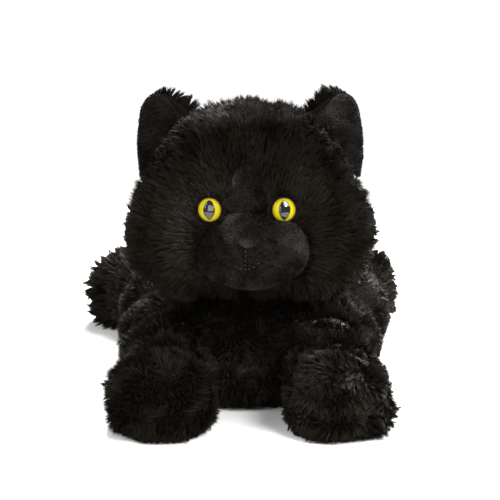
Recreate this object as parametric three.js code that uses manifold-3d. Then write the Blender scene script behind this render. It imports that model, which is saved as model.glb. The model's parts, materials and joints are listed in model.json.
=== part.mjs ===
// Lying plush cat, built the way it is sewn: plush skins turned over soft filling, a short-pile
// face panel, lined ears, and moulded eyes locked through the skin with washers.
// Millimetres, +Z up. The cat faces -Y, its own left is +X, and it lies on Z = 0.
// The origin is on the floor under the middle of the belly.

import * as THREE from "three";
import { mergeVertices } from "three/addons/utils/BufferGeometryUtils.js";
import Module from "manifold-3d";

const wasm = await Module();
wasm.setup();

// ---- Driving dimensions -------------------------------------------------------------------

const skinWall = 8; // plush skin, backing cloth and pile together
const panelWall = 5; // short-pile face panel and its backing
const tailWall = 5;
const legMouth = 14; // radius of the opening that a leg's filling is put in through
const tailMouth = 8;
const seamGap = 0.3; // between pieces that are sewn or pressed together
const fillingEase = 2.4; // between a filling and the skin around it
const swingRoom = 1.3; // around every piece that moves

const torso = {
  front: -112,
  back: 150,
  widths: [70, 92, 101, 99, 80], // half widths, front to back
  tops: [58, 76, 96, 95, 68], // heights, front to back
  middle: 38,
  underside: -7, // before the flat underside is cut at the floor
  fullness: 0.55,
  squareness: 0.86, // below 1, so that the sides stand a little squarer than an ellipse's
};

const cranium = { at: [0, -75, 143], radii: [69, 60, 60] };
const cheeks = { at: [0, -88, 126], radii: [81, 56, 51] };
const faceShift = -2; // the face sits a little to the cat's right of the middle of the head
const muzzle = { at: [faceShift + 2, -134, 112], radii: [35, 30, 24] };
const bridge = { at: [faceShift, -110, 142], radii: [14, 29.5, 34] };
const nosePad = { at: [faceShift, -161, 122], radii: [7, 3.5, 4.5] };

const neck = { at: [0, -42, 86], radius: 30, wall: 7, mouth: 15 };
const nodAngles = [-4, 5, 14]; // degrees, positive lifts the face
// What the lower half of the head sweeps through as it turns 18 degrees each way.
const turningHead = { at: [0, -84, 121], radii: [100, 67, 49] };

// Legs: a round root at the seam with the torso, then a straight leg that ends in the paw.
const legs = [
  { name: "left_foreleg", pivot: [50, -98, 26], yaw: 180, reach: 62, root: 31, paw: 33 },
  { name: "right_foreleg", pivot: [-50, -98, 26], yaw: 180, reach: 62, root: 31, paw: 33 },
  { name: "left_hindleg", pivot: [62, 92, 29], yaw: -24, reach: 72, root: 30, paw: 31 },
  { name: "right_hindleg", pivot: [-64, 92, 29], yaw: 31, reach: 74, root: 30, paw: 31 },
];
const legFlatness = 0.95; // height over width
const foreSwing = [-8, 6, 20]; // degrees, positive spreads the paw outwards
const hindSwing = [-12, 0, 12];

const tail = {
  pivot: [0, 138, 16],
  yaw: 8,
  reach: 68,
  radius: 17,
  tipYaw: 20,
  tipReach: 62,
  tipRadius: 15,
  tipEnd: 12,
  shortBy: 2, // the base's skin stops this far short of the tip's pivot
};
const tailSwing = [-20, 0, 20];

// Ears: a rounded flap standing on a sloping seam on each side of the head.
const ear = {
  inner: [38, 182], // X and Z of the two ends of the seam
  outer: [74, 148],
  crown: [[76, 167], [75, 187], [70, 201], [60, 207], [49, 205], [40, 197]], // outer end to inner
  middle: [58, 180], // the lining shrinks towards this
  plane: -66, // Y of the seam
  backThickness: 6,
  liningThickness: 2.4,
  liningScale: 0.88,
  roomScale: 1.06,
  lean: 8, // degrees that the ear leans back
};
const earSwing = [-12, 4, 20]; // degrees, positive folds the ear back

const eye = {
  at: [23.5, -138.5, 138],
  outward: 12, // degrees that it looks to the side
  upward: 6,
  radius: 8.1,
  domeHeight: 4.6,
  domeEdge: 0.6, // upright edge below the dome
  sink: 3.5, // how deep its rim sits in the pile
  rim: 1.2,
  irisThickness: 0.8,
  slitHalfWidth: 2.6,
  slitHalfHeight: 5.8,
  slitGap: 0.25, // between the pupil and the iris around it
  pupilBite: 0.2, // how deep the pupil grows into the back
  post: 2.2,
  postLength: 14,
  washer: 8,
  washerBore: 2.9,
  washerThickness: 1.6,
  recessRoom: 0.7, // around the rim, the post and the washer where they lie in the head
  postRoom: 0.4,
  washerRoom: 0.5,
};

// The mouth: one stitched line below the nose that splits into two short arms.
const mouth = {
  top: 116,
  fork: 109.5,
  arms: { reach: 8, end: 104.5, bend: [5, 108.5] },
  width: 1.4,
  armWidth: 1,
  proud: 1.2,
};

const seamThread = { length: 58, width: 1.8, height: 1.2, centerY: 62 };

// ---- Materials ----------------------------------------------------------------------------

function cloth(color, roughness) {
  return new THREE.MeshStandardMaterial({ color, roughness, metalness: 0 });
}

const materials = {
  plush: cloth(0x151417, 0.95),
  velour: cloth(0x1e1d21, 0.85),
  filling: cloth(0xe9e6df, 1),
  thread: cloth(0x0d0d0f, 0.8),
  clearPlastic: cloth(0xd9d9d2, 0.05),
  iris: cloth(0xe9d418, 0.25),
  blackPlastic: cloth(0x101010, 0.35),
  whitePlastic: cloth(0xe4e4e0, 0.45),
};

// ---- Solids -------------------------------------------------------------------------------

function solidOf(geometry) {
  const plain = geometry.clone();
  plain.deleteAttribute("normal");
  plain.deleteAttribute("uv");
  const merged = mergeVertices(plain, 1e-4);
  const vertProperties = new Float32Array(merged.attributes.position.array);
  const triVerts = new Uint32Array(merged.index.array);
  return new wasm.Manifold(new wasm.Mesh({ numProp: 3, vertProperties, triVerts }));
}

function geometryOf(solid) {
  const mesh = solid.getMesh();
  const geometry = new THREE.BufferGeometry();
  geometry.setAttribute("position", new THREE.BufferAttribute(mesh.vertProperties, 3));
  geometry.setIndex(new THREE.BufferAttribute(mesh.triVerts, 1));
  geometry.computeVertexNormals();
  return geometry;
}

function joined(solids) {
  return solids.reduce((whole, solid) => whole.add(solid));
}

function without(solid, tools) {
  return tools.reduce((rest, tool) => rest.subtract(tool), solid);
}

function turnAbout(point, axis, degrees) {
  const turn = new THREE.Matrix4().makeRotationAxis(axis, THREE.MathUtils.degToRad(degrees));
  const there = new THREE.Matrix4().makeTranslation(...point);
  const back = new THREE.Matrix4().makeTranslation(...point.map((value) => -value));
  return there.multiply(turn).multiply(back);
}

function moved(geometry, matrix) {
  return geometry.clone().applyMatrix4(matrix);
}

const up = new THREE.Vector3(0, 0, 1);
const sideways = new THREE.Vector3(1, 0, 0);

const ringsPerSide = 0.6; // rings of an ellipsoid for each of its sides around

function ellipsoid({ at, radii }, grow = 0, around = 18) {
  const geometry = new THREE.SphereGeometry(1, around, Math.round(around * ringsPerSide));
  geometry.rotateX(Math.PI / 2);
  geometry.scale(...radii.map((radius) => radius + grow));
  return geometry.translate(...at);
}

function roundBar(radius, length, sides = 16) {
  return new THREE.CylinderGeometry(radius, radius, length, sides).rotateX(Math.PI / 2);
}

const slab = { across: 600, along: 800, depth: 80 }; // wider and longer than the whole cat

function belowFloor(level) {
  const geometry = new THREE.BoxGeometry(slab.across, slab.along, slab.depth);
  return solidOf(geometry.translate(0, 0, level - slab.depth / 2));
}

// A smooth line through evenly spaced values, read at a fraction of its length.
function evenLine(values) {
  const line = new THREE.SplineCurve(values.map((value, i) => new THREE.Vector2(i, value)));
  return (fraction) => line.getPoint(fraction).y;
}

// The torso: a sphere stretched along Y, with rings that follow the width and height lines.
function torsoGeometry(grow, around = 22, along = 12) {
  const geometry = new THREE.SphereGeometry(1, around, along);
  const points = geometry.attributes.position;
  const widthAt = evenLine(torso.widths);
  const topAt = evenLine(torso.tops);
  const square = (value) => Math.sign(value) * Math.abs(value) ** torso.squareness;
  for (let i = 0; i < points.count; i += 1) {
    const ring = Math.hypot(points.getX(i), points.getZ(i));
    const fraction = (points.getY(i) + 1) / 2;
    const fill = ring < 1e-6 ? 0 : ring ** torso.fullness;
    const across = ring < 1e-6 ? 0 : square(points.getX(i) / ring) * fill;
    const rise = ring < 1e-6 ? 0 : square(points.getZ(i) / ring) * fill;
    const reach = rise > 0 ? topAt(fraction) - torso.middle : torso.middle - torso.underside;
    points.setX(i, across * (widthAt(fraction) + grow));
    points.setY(i, THREE.MathUtils.lerp(torso.front - grow, torso.back + grow, fraction));
    points.setZ(i, torso.middle + rise * (reach + grow));
  }
  return geometry;
}

// A quarter of a circle as lathe points, from the axis out or from the rim back to the axis.
function quarterRound(radius, base, opening) {
  const steps = 3;
  const points = [];
  for (let i = 0; i <= steps; i += 1) {
    const angle = (i / steps) * (Math.PI / 2);
    const wide = radius * (opening ? Math.sin(angle) : Math.cos(angle));
    const high = radius * (opening ? -Math.cos(angle) : Math.sin(angle));
    const onAxis = opening ? i === 0 : i === steps;
    points.push(new THREE.Vector2(onAxis ? 0 : wide, base + high));
  }
  return points;
}

function limbPlaced(profile, { pivot, yaw, flatness }) {
  const geometry = new THREE.LatheGeometry(profile, 14);
  geometry.scale(1, 1, flatness);
  geometry.rotateZ(THREE.MathUtils.degToRad(yaw));
  return geometry.translate(...pivot);
}

// A limb around the line from its pivot: half a ball at the root, a taper, a rounded end.
function limbGeometry(limb, grow) {
  const root = quarterRound(limb.root + grow, 0, true);
  const end = quarterRound(limb.paw + grow, limb.reach, false);
  return limbPlaced([...root, ...end], limb);
}

// The room a limb needs near its seam: a ball around the pivot and a straight run at each angle.
function limbRooms(limb, angles) {
  const ball = { at: limb.pivot, radii: [limb.root, limb.root, limb.root * limb.flatness] };
  const run = [
    new THREE.Vector2(0, 0),
    new THREE.Vector2(limb.root + swingRoom, 0),
    new THREE.Vector2(limb.paw + swingRoom, limb.reach),
    new THREE.Vector2(0, limb.reach),
  ];
  const rooms = sweptRoom(limbPlaced(run, limb), limb.pivot, up, angles);
  return [solidOf(ellipsoid(ball, swingRoom, 16)), ...rooms];
}

function limbSkin(limb, wall, openingRadius) {
  const outer = without(solidOf(limbGeometry(limb, 0)), [belowFloor(0)]);
  const inner = without(solidOf(limbGeometry(limb, -wall)), [belowFloor(wall)]);
  const length = limb.root * 1.6;
  const opening = new THREE.CylinderGeometry(openingRadius, openingRadius, length, 14);
  opening.translate(0, -length / 2, 0);
  opening.rotateZ(THREE.MathUtils.degToRad(limb.yaw));
  opening.translate(...limb.pivot);
  return without(outer, [inner, solidOf(opening)]);
}

function limbFilling(limb, wall) {
  const shrink = wall + fillingEase;
  return without(solidOf(limbGeometry(limb, -shrink)), [belowFloor(shrink)]);
}

// The room that a piece sweeps through as it turns.
function sweptRoom(geometry, point, axis, angles) {
  return angles.map((degrees) => solidOf(moved(geometry, turnAbout(point, axis, degrees))));
}

// ---- Scene graph --------------------------------------------------------------------------

const group = new THREE.Group();

function addPiece(name, geometry, material, parent = group) {
  const mesh = new THREE.Mesh(geometry, material);
  mesh.name = name;
  parent.add(mesh);
  return mesh;
}

// ---- Legs ---------------------------------------------------------------------------------

const legRooms = [];
for (const leg of legs) {
  const limb = { ...leg, flatness: legFlatness };
  const skin = limbSkin(limb, skinWall, legMouth);
  addPiece(`${leg.name}_skin`, geometryOf(skin), materials.plush);
  addPiece(`${leg.name}_filling`, geometryOf(limbFilling(limb, skinWall)), materials.filling);
  const side = leg.name.startsWith("left") ? 1 : -1;
  const swing = leg.name.endsWith("foreleg") ? foreSwing : hindSwing.map((degrees) => -degrees);
  legRooms.push(...limbRooms(limb, swing.map((degrees) => degrees * side)));
}

// ---- Tail ---------------------------------------------------------------------------------

function pointAlong(pivot, yaw, distance) {
  const angle = THREE.MathUtils.degToRad(yaw);
  return [pivot[0] - distance * Math.sin(angle), pivot[1] + distance * Math.cos(angle), pivot[2]];
}

const tailBase = {
  pivot: tail.pivot,
  yaw: tail.yaw,
  reach: tail.reach,
  root: tail.radius,
  paw: tail.radius,
  flatness: 1,
};
const tailTip = {
  pivot: pointAlong(tail.pivot, tail.yaw, tail.reach),
  yaw: tail.yaw + tail.tipYaw,
  reach: tail.tipReach,
  root: tail.tipRadius,
  paw: tail.tipEnd,
  flatness: 1,
};
const tipRooms = limbRooms(tailTip, tailSwing);
const tailRooms = limbRooms(tailBase, tailSwing);
const cutSize = 3 * (tail.radius + tailWall) + tail.shortBy;
const beyondBase = new THREE.BoxGeometry(cutSize, cutSize, cutSize);
beyondBase.translate(0, tail.reach - tail.shortBy + cutSize / 2, 0);
beyondBase.rotateZ(THREE.MathUtils.degToRad(tail.yaw));
beyondBase.translate(...tail.pivot);
const pastBase = [solidOf(beyondBase), ...tipRooms];
const tailBaseSkin = without(limbSkin(tailBase, tailWall, tailMouth), pastBase);
const tailBaseFilling = without(limbFilling(tailBase, tailWall), pastBase);
addPiece("tail_base_skin", geometryOf(tailBaseSkin), materials.plush);
addPiece("tail_base_filling", geometryOf(tailBaseFilling), materials.filling);
addPiece("tail_tip_skin", geometryOf(limbSkin(tailTip, tailWall, tailMouth)), materials.plush);
addPiece("tail_tip_filling", geometryOf(limbFilling(tailTip, tailWall)), materials.filling);

// ---- Neck ---------------------------------------------------------------------------------

const neckBall = { at: neck.at, radii: [neck.radius, neck.radius, neck.radius] };
const neckMouth = roundBar(neck.mouth, neck.radius * 3).translate(...neck.at);
const neckSkin = without(solidOf(ellipsoid(neckBall, 0, 16)), [
  solidOf(ellipsoid(neckBall, -neck.wall, 12)),
  solidOf(neckMouth),
]);
addPiece("neck_skin", geometryOf(neckSkin), materials.plush);
addPiece("neck_filling", ellipsoid(neckBall, -neck.wall - seamGap, 12), materials.filling);
const neckRoom = solidOf(ellipsoid(neckBall, swingRoom, 16));

// ---- Head ---------------------------------------------------------------------------------

const nods = nodAngles.map((degrees) => -degrees);
const headRooms = sweptRoom(ellipsoid(turningHead), neck.at, sideways, nods);

function earOutline(side, scale) {
  const points = [ear.inner, ear.outer, ...ear.crown].map(([x, z]) => {
    const wide = ear.middle[0] + (x - ear.middle[0]) * scale;
    const high = ear.middle[1] + (z - ear.middle[1]) * scale;
    return new THREE.Vector2(side * wide, high);
  });
  const shape = new THREE.Shape();
  shape.moveTo(points[0].x, points[0].y);
  shape.lineTo(points[1].x, points[1].y);
  shape.splineThru([...points.slice(2), points[0]]);
  return shape;
}

function plate(shape, thickness, frontFace, curveSegments = 3) {
  const geometry = new THREE.ExtrudeGeometry(shape, {
    depth: thickness,
    bevelEnabled: false,
    curveSegments,
  });
  geometry.rotateX(Math.PI / 2);
  return geometry.translate(0, frontFace + thickness, 0);
}

const earRooms = [];
for (const [name, side] of [["left_ear", 1], ["right_ear", -1]]) {
  const run = [ear.outer[0] - ear.inner[0], ear.outer[1] - ear.inner[1]];
  const seam = new THREE.Vector3(-run[0], 0, -side * run[1]).normalize();
  const seamMiddle = [
    (side * (ear.inner[0] + ear.outer[0])) / 2,
    ear.plane,
    (ear.inner[1] + ear.outer[1]) / 2,
  ];
  const leaning = turnAbout(seamMiddle, seam, ear.lean);
  const backFace = ear.plane;
  const liningFace = backFace - ear.liningThickness - seamGap;
  const back = plate(earOutline(side, 1), ear.backThickness, backFace);
  const lining = plate(earOutline(side, ear.liningScale), ear.liningThickness, liningFace);
  addPiece(`${name}_back`, moved(back, leaning), materials.plush);
  addPiece(`${name}_lining`, moved(lining, leaning), materials.velour);
  const roomThickness = ear.backThickness + ear.liningThickness + seamGap + 2 * swingRoom;
  const room = plate(earOutline(side, ear.roomScale), roomThickness, liningFace - swingRoom, 2);
  earRooms.push(...sweptRoom(moved(room, leaning), seamMiddle, seam, earSwing));
}

// Each eye in its own frame: local Z looks out of the head, and Z = 0 is the tip of the pile.
function eyeFrame(side) {
  const frame = new THREE.Group();
  frame.position.set(faceShift + side * eye.at[0], eye.at[1], eye.at[2]);
  const yaw = THREE.MathUtils.degToRad(side * eye.outward);
  const pitch = THREE.MathUtils.degToRad(90 - eye.upward);
  frame.rotation.set(pitch, 0, yaw, "ZYX");
  frame.updateMatrix();
  return frame;
}

function eyeLathe(outline) {
  const points = outline.map(([radius, height]) => new THREE.Vector2(radius, height));
  return new THREE.LatheGeometry(points, 16).rotateX(Math.PI / 2);
}

const rimBack = -eye.sink;
const rimFront = rimBack + eye.rim;
const irisBack = rimFront + seamGap;
const domeBack = irisBack + eye.irisThickness + seamGap;
const washerFront = -skinWall - seamGap * 2;
const postEnd = rimBack - eye.postLength;

function domeGeometry() {
  const outline = [[0, domeBack]];
  const steps = 5;
  for (let i = 0; i <= steps; i += 1) {
    const angle = (i / steps) * (Math.PI / 2);
    const high = domeBack + eye.domeEdge + eye.domeHeight * Math.sin(angle);
    outline.push([eye.radius * Math.cos(angle), high]);
  }
  outline.splice(1, 0, [eye.radius, domeBack]);
  outline[outline.length - 1][0] = 0;
  return eyeLathe(outline);
}

function slitShape(grow) {
  const wide = eye.slitHalfWidth + grow;
  const tall = eye.slitHalfHeight + grow;
  const shape = new THREE.Shape();
  shape.moveTo(0, -tall);
  shape.quadraticCurveTo(wide * 2, 0, 0, tall);
  shape.quadraticCurveTo(-wide * 2, 0, 0, -tall);
  return shape;
}

function eyeParts() {
  const washer = eyeLathe([
    [eye.washerBore, washerFront],
    [eye.washerBore, washerFront - eye.washerThickness],
    [eye.washer, washerFront - eye.washerThickness],
    [eye.washer, washerFront],
    [eye.washerBore, washerFront],
  ]);
  const pupil = new THREE.ExtrudeGeometry(slitShape(0), {
    depth: eye.irisThickness + seamGap + eye.pupilBite,
    bevelEnabled: false,
    curveSegments: 6,
  });
  const slotDepth = 6;
  const slot = new THREE.ExtrudeGeometry(slitShape(eye.slitGap), {
    depth: slotDepth,
    bevelEnabled: false,
    curveSegments: 6,
  });
  const post = eyeLathe([
    [0, postEnd],
    [eye.post, postEnd],
    [eye.post, rimBack],
    [eye.radius, rimBack],
    [eye.radius, rimFront],
    [0, rimFront],
  ]);
  const disc = eyeLathe([
    [0, irisBack],
    [eye.radius, irisBack],
    [eye.radius, irisBack + eye.irisThickness],
    [0, irisBack + eye.irisThickness],
  ]);
  const pupilSolid = solidOf(pupil.translate(0, 0, rimFront - eye.pupilBite));
  const slotSolid = solidOf(slot.translate(0, 0, irisBack - slotDepth / 2));
  return {
    dome: domeGeometry(),
    iris: geometryOf(solidOf(disc).subtract(slotSolid)),
    post: geometryOf(solidOf(post).add(pupilSolid)),
    washer,
  };
}

const boreLength = 40; // reaches out of the head in front of the eye
const recess = roundBar(eye.radius + eye.recessRoom, boreLength);
recess.translate(0, 0, rimBack - seamGap + boreLength / 2);
const postHole = roundBar(eye.post + eye.postRoom, boreLength, 8);
postHole.translate(0, 0, postEnd - seamGap + boreLength / 2);
const washerRoom = roundBar(eye.washer + eye.washerRoom, eye.washerThickness + 2 * seamGap, 14);
washerRoom.translate(0, 0, washerFront - eye.washerThickness / 2);
const skinHoles = [];
const fillingHoles = [];
for (const [name, side] of [["left_eye", 1], ["right_eye", -1]]) {
  const frame = eyeFrame(side);
  const parts = eyeParts();
  addPiece(`${name}_dome`, parts.dome, materials.clearPlastic, frame);
  addPiece(`${name}_iris`, parts.iris, materials.iris, frame);
  addPiece(`${name}_post`, parts.post, materials.blackPlastic, frame);
  addPiece(`${name}_washer`, parts.washer, materials.whitePlastic, frame);
  group.add(frame);
  const place = (geometry) => solidOf(moved(geometry, frame.matrix));
  skinHoles.push(place(recess), place(postHole), place(washerRoom));
  fillingHoles.push(place(postHole), place(washerRoom));
}

function shapesOf(blobs, grow, around = 18) {
  return blobs.map((blob) => solidOf(ellipsoid(blob, grow, around)));
}

const headShape = (grow, around) => shapesOf([cranium, cheeks], grow, around);
const faceShape = (grow, around) => shapesOf([muzzle, bridge], grow, around);
const headHollow = headShape(-skinWall);

const headSkin = without(joined(headShape(0)), [
  ...headHollow,
  ...faceShape(seamGap),
  neckRoom,
  ...earRooms,
  ...skinHoles,
]);
addPiece("head_skin", geometryOf(headSkin), materials.plush);

const facePanel = without(joined(faceShape(0)), [
  ...faceShape(-panelWall),
  ...headHollow,
  ...skinHoles,
]);
addPiece("face_panel", geometryOf(facePanel), materials.velour);

const headFill = joined([
  ...headShape(-skinWall - fillingEase, 12),
  ...faceShape(-panelWall - fillingEase, 12),
]);
const headFilling = without(headFill, [neckRoom, ...earRooms, ...fillingHoles]);
addPiece("head_filling", geometryOf(headFilling), materials.filling);

const clearOfPanel = faceShape(seamGap);
const nose = without(solidOf(ellipsoid(nosePad, 0, 12)), clearOfPanel);
addPiece("nose", geometryOf(nose), materials.velour);

function mouthShape() {
  const { reach, end, bend } = mouth.arms;
  const half = mouth.width / 2;
  const under = mouth.fork - 2 * mouth.armWidth;
  const shape = new THREE.Shape();
  shape.moveTo(-half, mouth.top);
  shape.lineTo(-half, mouth.fork);
  shape.quadraticCurveTo(-bend[0], bend[1], -reach, end);
  shape.lineTo(mouth.armWidth - reach, end - mouth.armWidth);
  shape.quadraticCurveTo(-reach / 2, under - half, 0, under);
  shape.quadraticCurveTo(reach / 2, under - half, reach - mouth.armWidth, end - mouth.armWidth);
  shape.lineTo(reach, end);
  shape.quadraticCurveTo(bend[0], bend[1], half, mouth.fork);
  shape.lineTo(half, mouth.top);
  return shape;
}

// A blank as deep as the muzzle, kept only where it lies in the thread's layer on the pile.
const blankFront = muzzle.at[1] - 1.5 * muzzle.radii[1];
const blank = plate(mouthShape(), 1.5 * muzzle.radii[1], blankFront, 5).translate(faceShift, 0, 0);
const threadLayer = solidOf(ellipsoid(muzzle, mouth.proud));
const stitches = solidOf(blank).intersect(threadLayer);
addPiece("mouth_stitches", geometryOf(without(stitches, clearOfPanel)), materials.thread);

// ---- Torso --------------------------------------------------------------------------------

const threadBed = new THREE.BoxGeometry(
  seamThread.width + 2 * seamGap,
  seamThread.length + 2 * seamGap,
  2 * (seamThread.height + 2 * seamGap),
);
threadBed.translate(0, seamThread.centerY, 0);

const torsoRooms = [neckRoom, ...headRooms, ...legRooms, ...tailRooms];
const torsoOuter = without(solidOf(torsoGeometry(0)), [belowFloor(0)]);
const torsoHollow = without(solidOf(torsoGeometry(-skinWall)), [belowFloor(skinWall)]);
const torsoSkin = without(torsoOuter, [torsoHollow, ...torsoRooms, solidOf(threadBed)]);
addPiece("torso_skin", geometryOf(torsoSkin), materials.plush);

const fillShrink = skinWall + fillingEase;
const torsoFill = without(solidOf(torsoGeometry(-fillShrink, 14, 9)), [belowFloor(fillShrink)]);
addPiece("torso_filling", geometryOf(without(torsoFill, torsoRooms)), materials.filling);

const thread = new THREE.BoxGeometry(seamThread.width, seamThread.length, seamThread.height);
thread.translate(0, seamThread.centerY, seamGap + seamThread.height / 2);
addPiece("closing_seam_thread", thread, materials.thread);

export default group;
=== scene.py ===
"""A black plush cat lying on its belly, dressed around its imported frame.

The cat faces -Y, its own left is +X, and it lies on Z = 0. Sizes in the classes are in
millimetres, because that is how a pattern for a soft toy is drawn, and meshes are in metres.
"""

import json
import logging
import math
from collections.abc import Callable
from dataclasses import dataclass
from enum import Enum

import bmesh
import bpy
import numpy as np
from mathutils import Matrix, Vector
from mathutils.bvhtree import BVHTree
from mathutils.kdtree import KDTree


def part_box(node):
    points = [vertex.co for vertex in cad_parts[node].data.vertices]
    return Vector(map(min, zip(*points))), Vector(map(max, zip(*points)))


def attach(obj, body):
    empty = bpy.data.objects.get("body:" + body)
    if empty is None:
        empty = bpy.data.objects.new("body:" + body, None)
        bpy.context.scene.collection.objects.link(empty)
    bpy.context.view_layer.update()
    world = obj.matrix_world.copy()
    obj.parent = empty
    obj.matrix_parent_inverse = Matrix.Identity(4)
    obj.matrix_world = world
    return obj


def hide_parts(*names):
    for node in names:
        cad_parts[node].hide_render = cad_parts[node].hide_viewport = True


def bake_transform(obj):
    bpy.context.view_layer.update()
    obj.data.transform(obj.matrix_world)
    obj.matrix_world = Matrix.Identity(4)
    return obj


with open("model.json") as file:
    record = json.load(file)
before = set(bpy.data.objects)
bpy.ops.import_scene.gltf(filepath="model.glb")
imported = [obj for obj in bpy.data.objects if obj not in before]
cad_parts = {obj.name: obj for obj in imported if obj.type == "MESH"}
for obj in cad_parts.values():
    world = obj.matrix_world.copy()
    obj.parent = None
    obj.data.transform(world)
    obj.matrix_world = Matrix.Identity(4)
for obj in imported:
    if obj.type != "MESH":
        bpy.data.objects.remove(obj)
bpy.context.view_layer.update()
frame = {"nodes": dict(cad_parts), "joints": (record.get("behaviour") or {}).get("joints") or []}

log = logging.getLogger("plush_cat")

MM = 0.001
PILE_MAP = "OFBake"  # strands share one small map: across is their tone, up is root to tip
DISC_MAP = "disc"
FLOOR_CLEARANCE = 0.3  # mm between the surface and the lowest cloth
CURL = 15.0  # mm across one lazy curl of the nap
FLUTTER = 0.55  # how much strands twist out of the nap's surface

Points = np.ndarray
Field = Callable[[Points, Points], np.ndarray]


class Slot(Enum):
    """Material slots of the record."""

    PLUSH = "black_plush"
    VELOUR = "black_velour"
    FILLING = "polyester_filling"
    THREAD = "black_thread"
    CLEAR = "clear_plastic"
    IRIS = "iris_paint"
    BLACK = "black_plastic"
    WHITE = "white_plastic"


class Side(Enum):
    """The cat's own left and right."""

    LEFT = 1
    RIGHT = -1

    @property
    def word(self) -> str:
        """The side in lower case, as node names have it."""
        return self.name.lower()


# ---- Finishes -------------------------------------------------------------------------------


class Shader:
    """A node material around one Principled shader."""

    def __init__(self, name: str) -> None:
        """Starts an empty material.

        Args:
            name: the material's name.
        """
        self.material = bpy.data.materials.new(name)
        self.material.use_nodes = True
        self.tree = self.material.node_tree
        self.tree.nodes.clear()
        self.surface = self.add("ShaderNodeBsdfPrincipled")
        output = self.add("ShaderNodeOutputMaterial")
        self.join(self.surface.outputs["BSDF"], output.inputs["Surface"])

    def add(self, kind: str, **settings: object) -> bpy.types.Node:
        """Adds a node.

        Args:
            kind: the node's type.
            **settings: properties to set on it.

        Returns:
            The new node.
        """
        node = self.tree.nodes.new(kind)
        for key, value in settings.items():
            setattr(node, key, value)
        return node

    def join(self, source: bpy.types.NodeSocket, target: bpy.types.NodeSocket) -> None:
        """Links two sockets."""
        self.tree.links.new(source, target)

    def settle(self, **values: float | tuple[float, ...]) -> None:
        """Sets constants on the shader's own sockets, named with underscores for spaces."""
        for key, value in values.items():
            self.surface.inputs[key.replace("_", " ")].default_value = value

    def ramp(
        self, source: bpy.types.NodeSocket, stops: list[tuple[float, tuple[float, float, float]]]
    ) -> bpy.types.NodeSocket:
        """Colours a value.

        Args:
            source: the value.
            stops: positions with their linear colours.

        Returns:
            The colour socket.
        """
        node = self.add("ShaderNodeValToRGB")
        elements = node.color_ramp.elements
        while len(elements) < len(stops):
            elements.new(1.0)
        for element, (position, colour) in zip(elements, stops):
            element.position = position
            element.color = (*colour, 1.0)
        self.join(source, node.inputs["Fac"])
        return node.outputs["Color"]

    def noise(
        self, scale: float, detail: float, stretch: tuple[float, float, float] = (1, 1, 1)
    ) -> bpy.types.NodeSocket:
        """A noise pattern on object coordinates.

        Args:
            scale: features per metre.
            detail: octaves.
            stretch: scale along each axis.

        Returns:
            The noise value.
        """
        where = self.add("ShaderNodeTexCoord")
        mapping = self.add("ShaderNodeMapping")
        mapping.inputs["Scale"].default_value = stretch
        self.join(where.outputs["Object"], mapping.inputs["Vector"])
        node = self.add("ShaderNodeTexNoise")
        node.inputs["Scale"].default_value = scale
        node.inputs["Detail"].default_value = detail
        self.join(mapping.outputs["Vector"], node.inputs["Vector"])
        return node.outputs["Fac"]

    def bump(self, height: bpy.types.NodeSocket, strength: float, depth: float) -> None:
        """Puts relief on the surface.

        Args:
            height: the relief's value.
            strength: 0 to 1.
            depth: metres between its low and high points.
        """
        node = self.add("ShaderNodeBump")
        node.inputs["Strength"].default_value = strength
        node.inputs["Distance"].default_value = depth
        self.join(height, node.inputs["Height"])
        self.join(node.outputs["Normal"], self.surface.inputs["Normal"])


@dataclass(frozen=True)
class PileFinish:
    """Dyed pile: near-black strands whose tone and warmth vary from strand to strand."""

    name: str = "dyed_pile"
    deep: tuple[float, float, float] = (0.0022, 0.0015, 0.0008)
    middle: tuple[float, float, float] = (0.0058, 0.0041, 0.0024)
    bright: tuple[float, float, float] = (0.0200, 0.0172, 0.0158)
    root_shade: float = 0.12
    roughness: float = 0.48
    gloss: float = 0.055
    sheen: float = 0.012
    glint: tuple[float, float, float] = (1.0, 0.90, 0.78)

    def material(self) -> bpy.types.Material:
        """The material, which reads each strand's tone and height from its own map."""
        shader = Shader(self.name)
        where = shader.add("ShaderNodeUVMap", uv_map=PILE_MAP)
        split = shader.add("ShaderNodeSeparateXYZ")
        shader.join(where.outputs["UV"], split.inputs["Vector"])
        stops = [(0.0, self.deep), (0.5, self.middle), (1.0, self.bright)]
        tone = shader.ramp(split.outputs["X"], stops)
        # The ramp on the strand's height darkens it towards the root: painted shade deep in the pile, where
        # the strands shade each other.
        shade = (self.root_shade,) * 3
        depth = shader.ramp(split.outputs["Y"], [(0.0, shade), (0.7, (0.8,) * 3), (1.0, (1.0,) * 3)])
        mix = shader.add("ShaderNodeMix", data_type="RGBA", blend_type="MULTIPLY")
        mix.inputs["Factor"].default_value = 1.0
        shader.join(tone, mix.inputs["A"])
        shader.join(depth, mix.inputs["B"])
        shader.join(mix.outputs["Result"], shader.surface.inputs["Base Color"])
        shader.settle(
            Roughness=self.roughness,
            Specular_IOR_Level=self.gloss,
            Specular_Tint=(*self.glint, 1.0),
            Sheen_Weight=self.sheen,
            Sheen_Roughness=0.45,
            Sheen_Tint=(*self.glint, 1.0),
        )
        return shader.material


@dataclass(frozen=True)
class BackingFinish:
    """The knitted cloth that the pile is rooted in."""

    name: str = "knitted_backing"
    dark: tuple[float, float, float] = (0.0015, 0.0012, 0.0010)
    light: tuple[float, float, float] = (0.0035, 0.0028, 0.0024)

    def material(self) -> bpy.types.Material:
        """The material."""
        shader = Shader(self.name)
        rows = shader.noise(900.0, 3.0, (1.0, 0.35, 1.0))
        tone = shader.ramp(rows, [(0.3, self.dark), (0.7, self.light)])
        shader.join(tone, shader.surface.inputs["Base Color"])
        shader.settle(Roughness=0.95, Specular_IOR_Level=0.05)
        shader.bump(rows, 0.5, 0.0004)
        return shader.material


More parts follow.
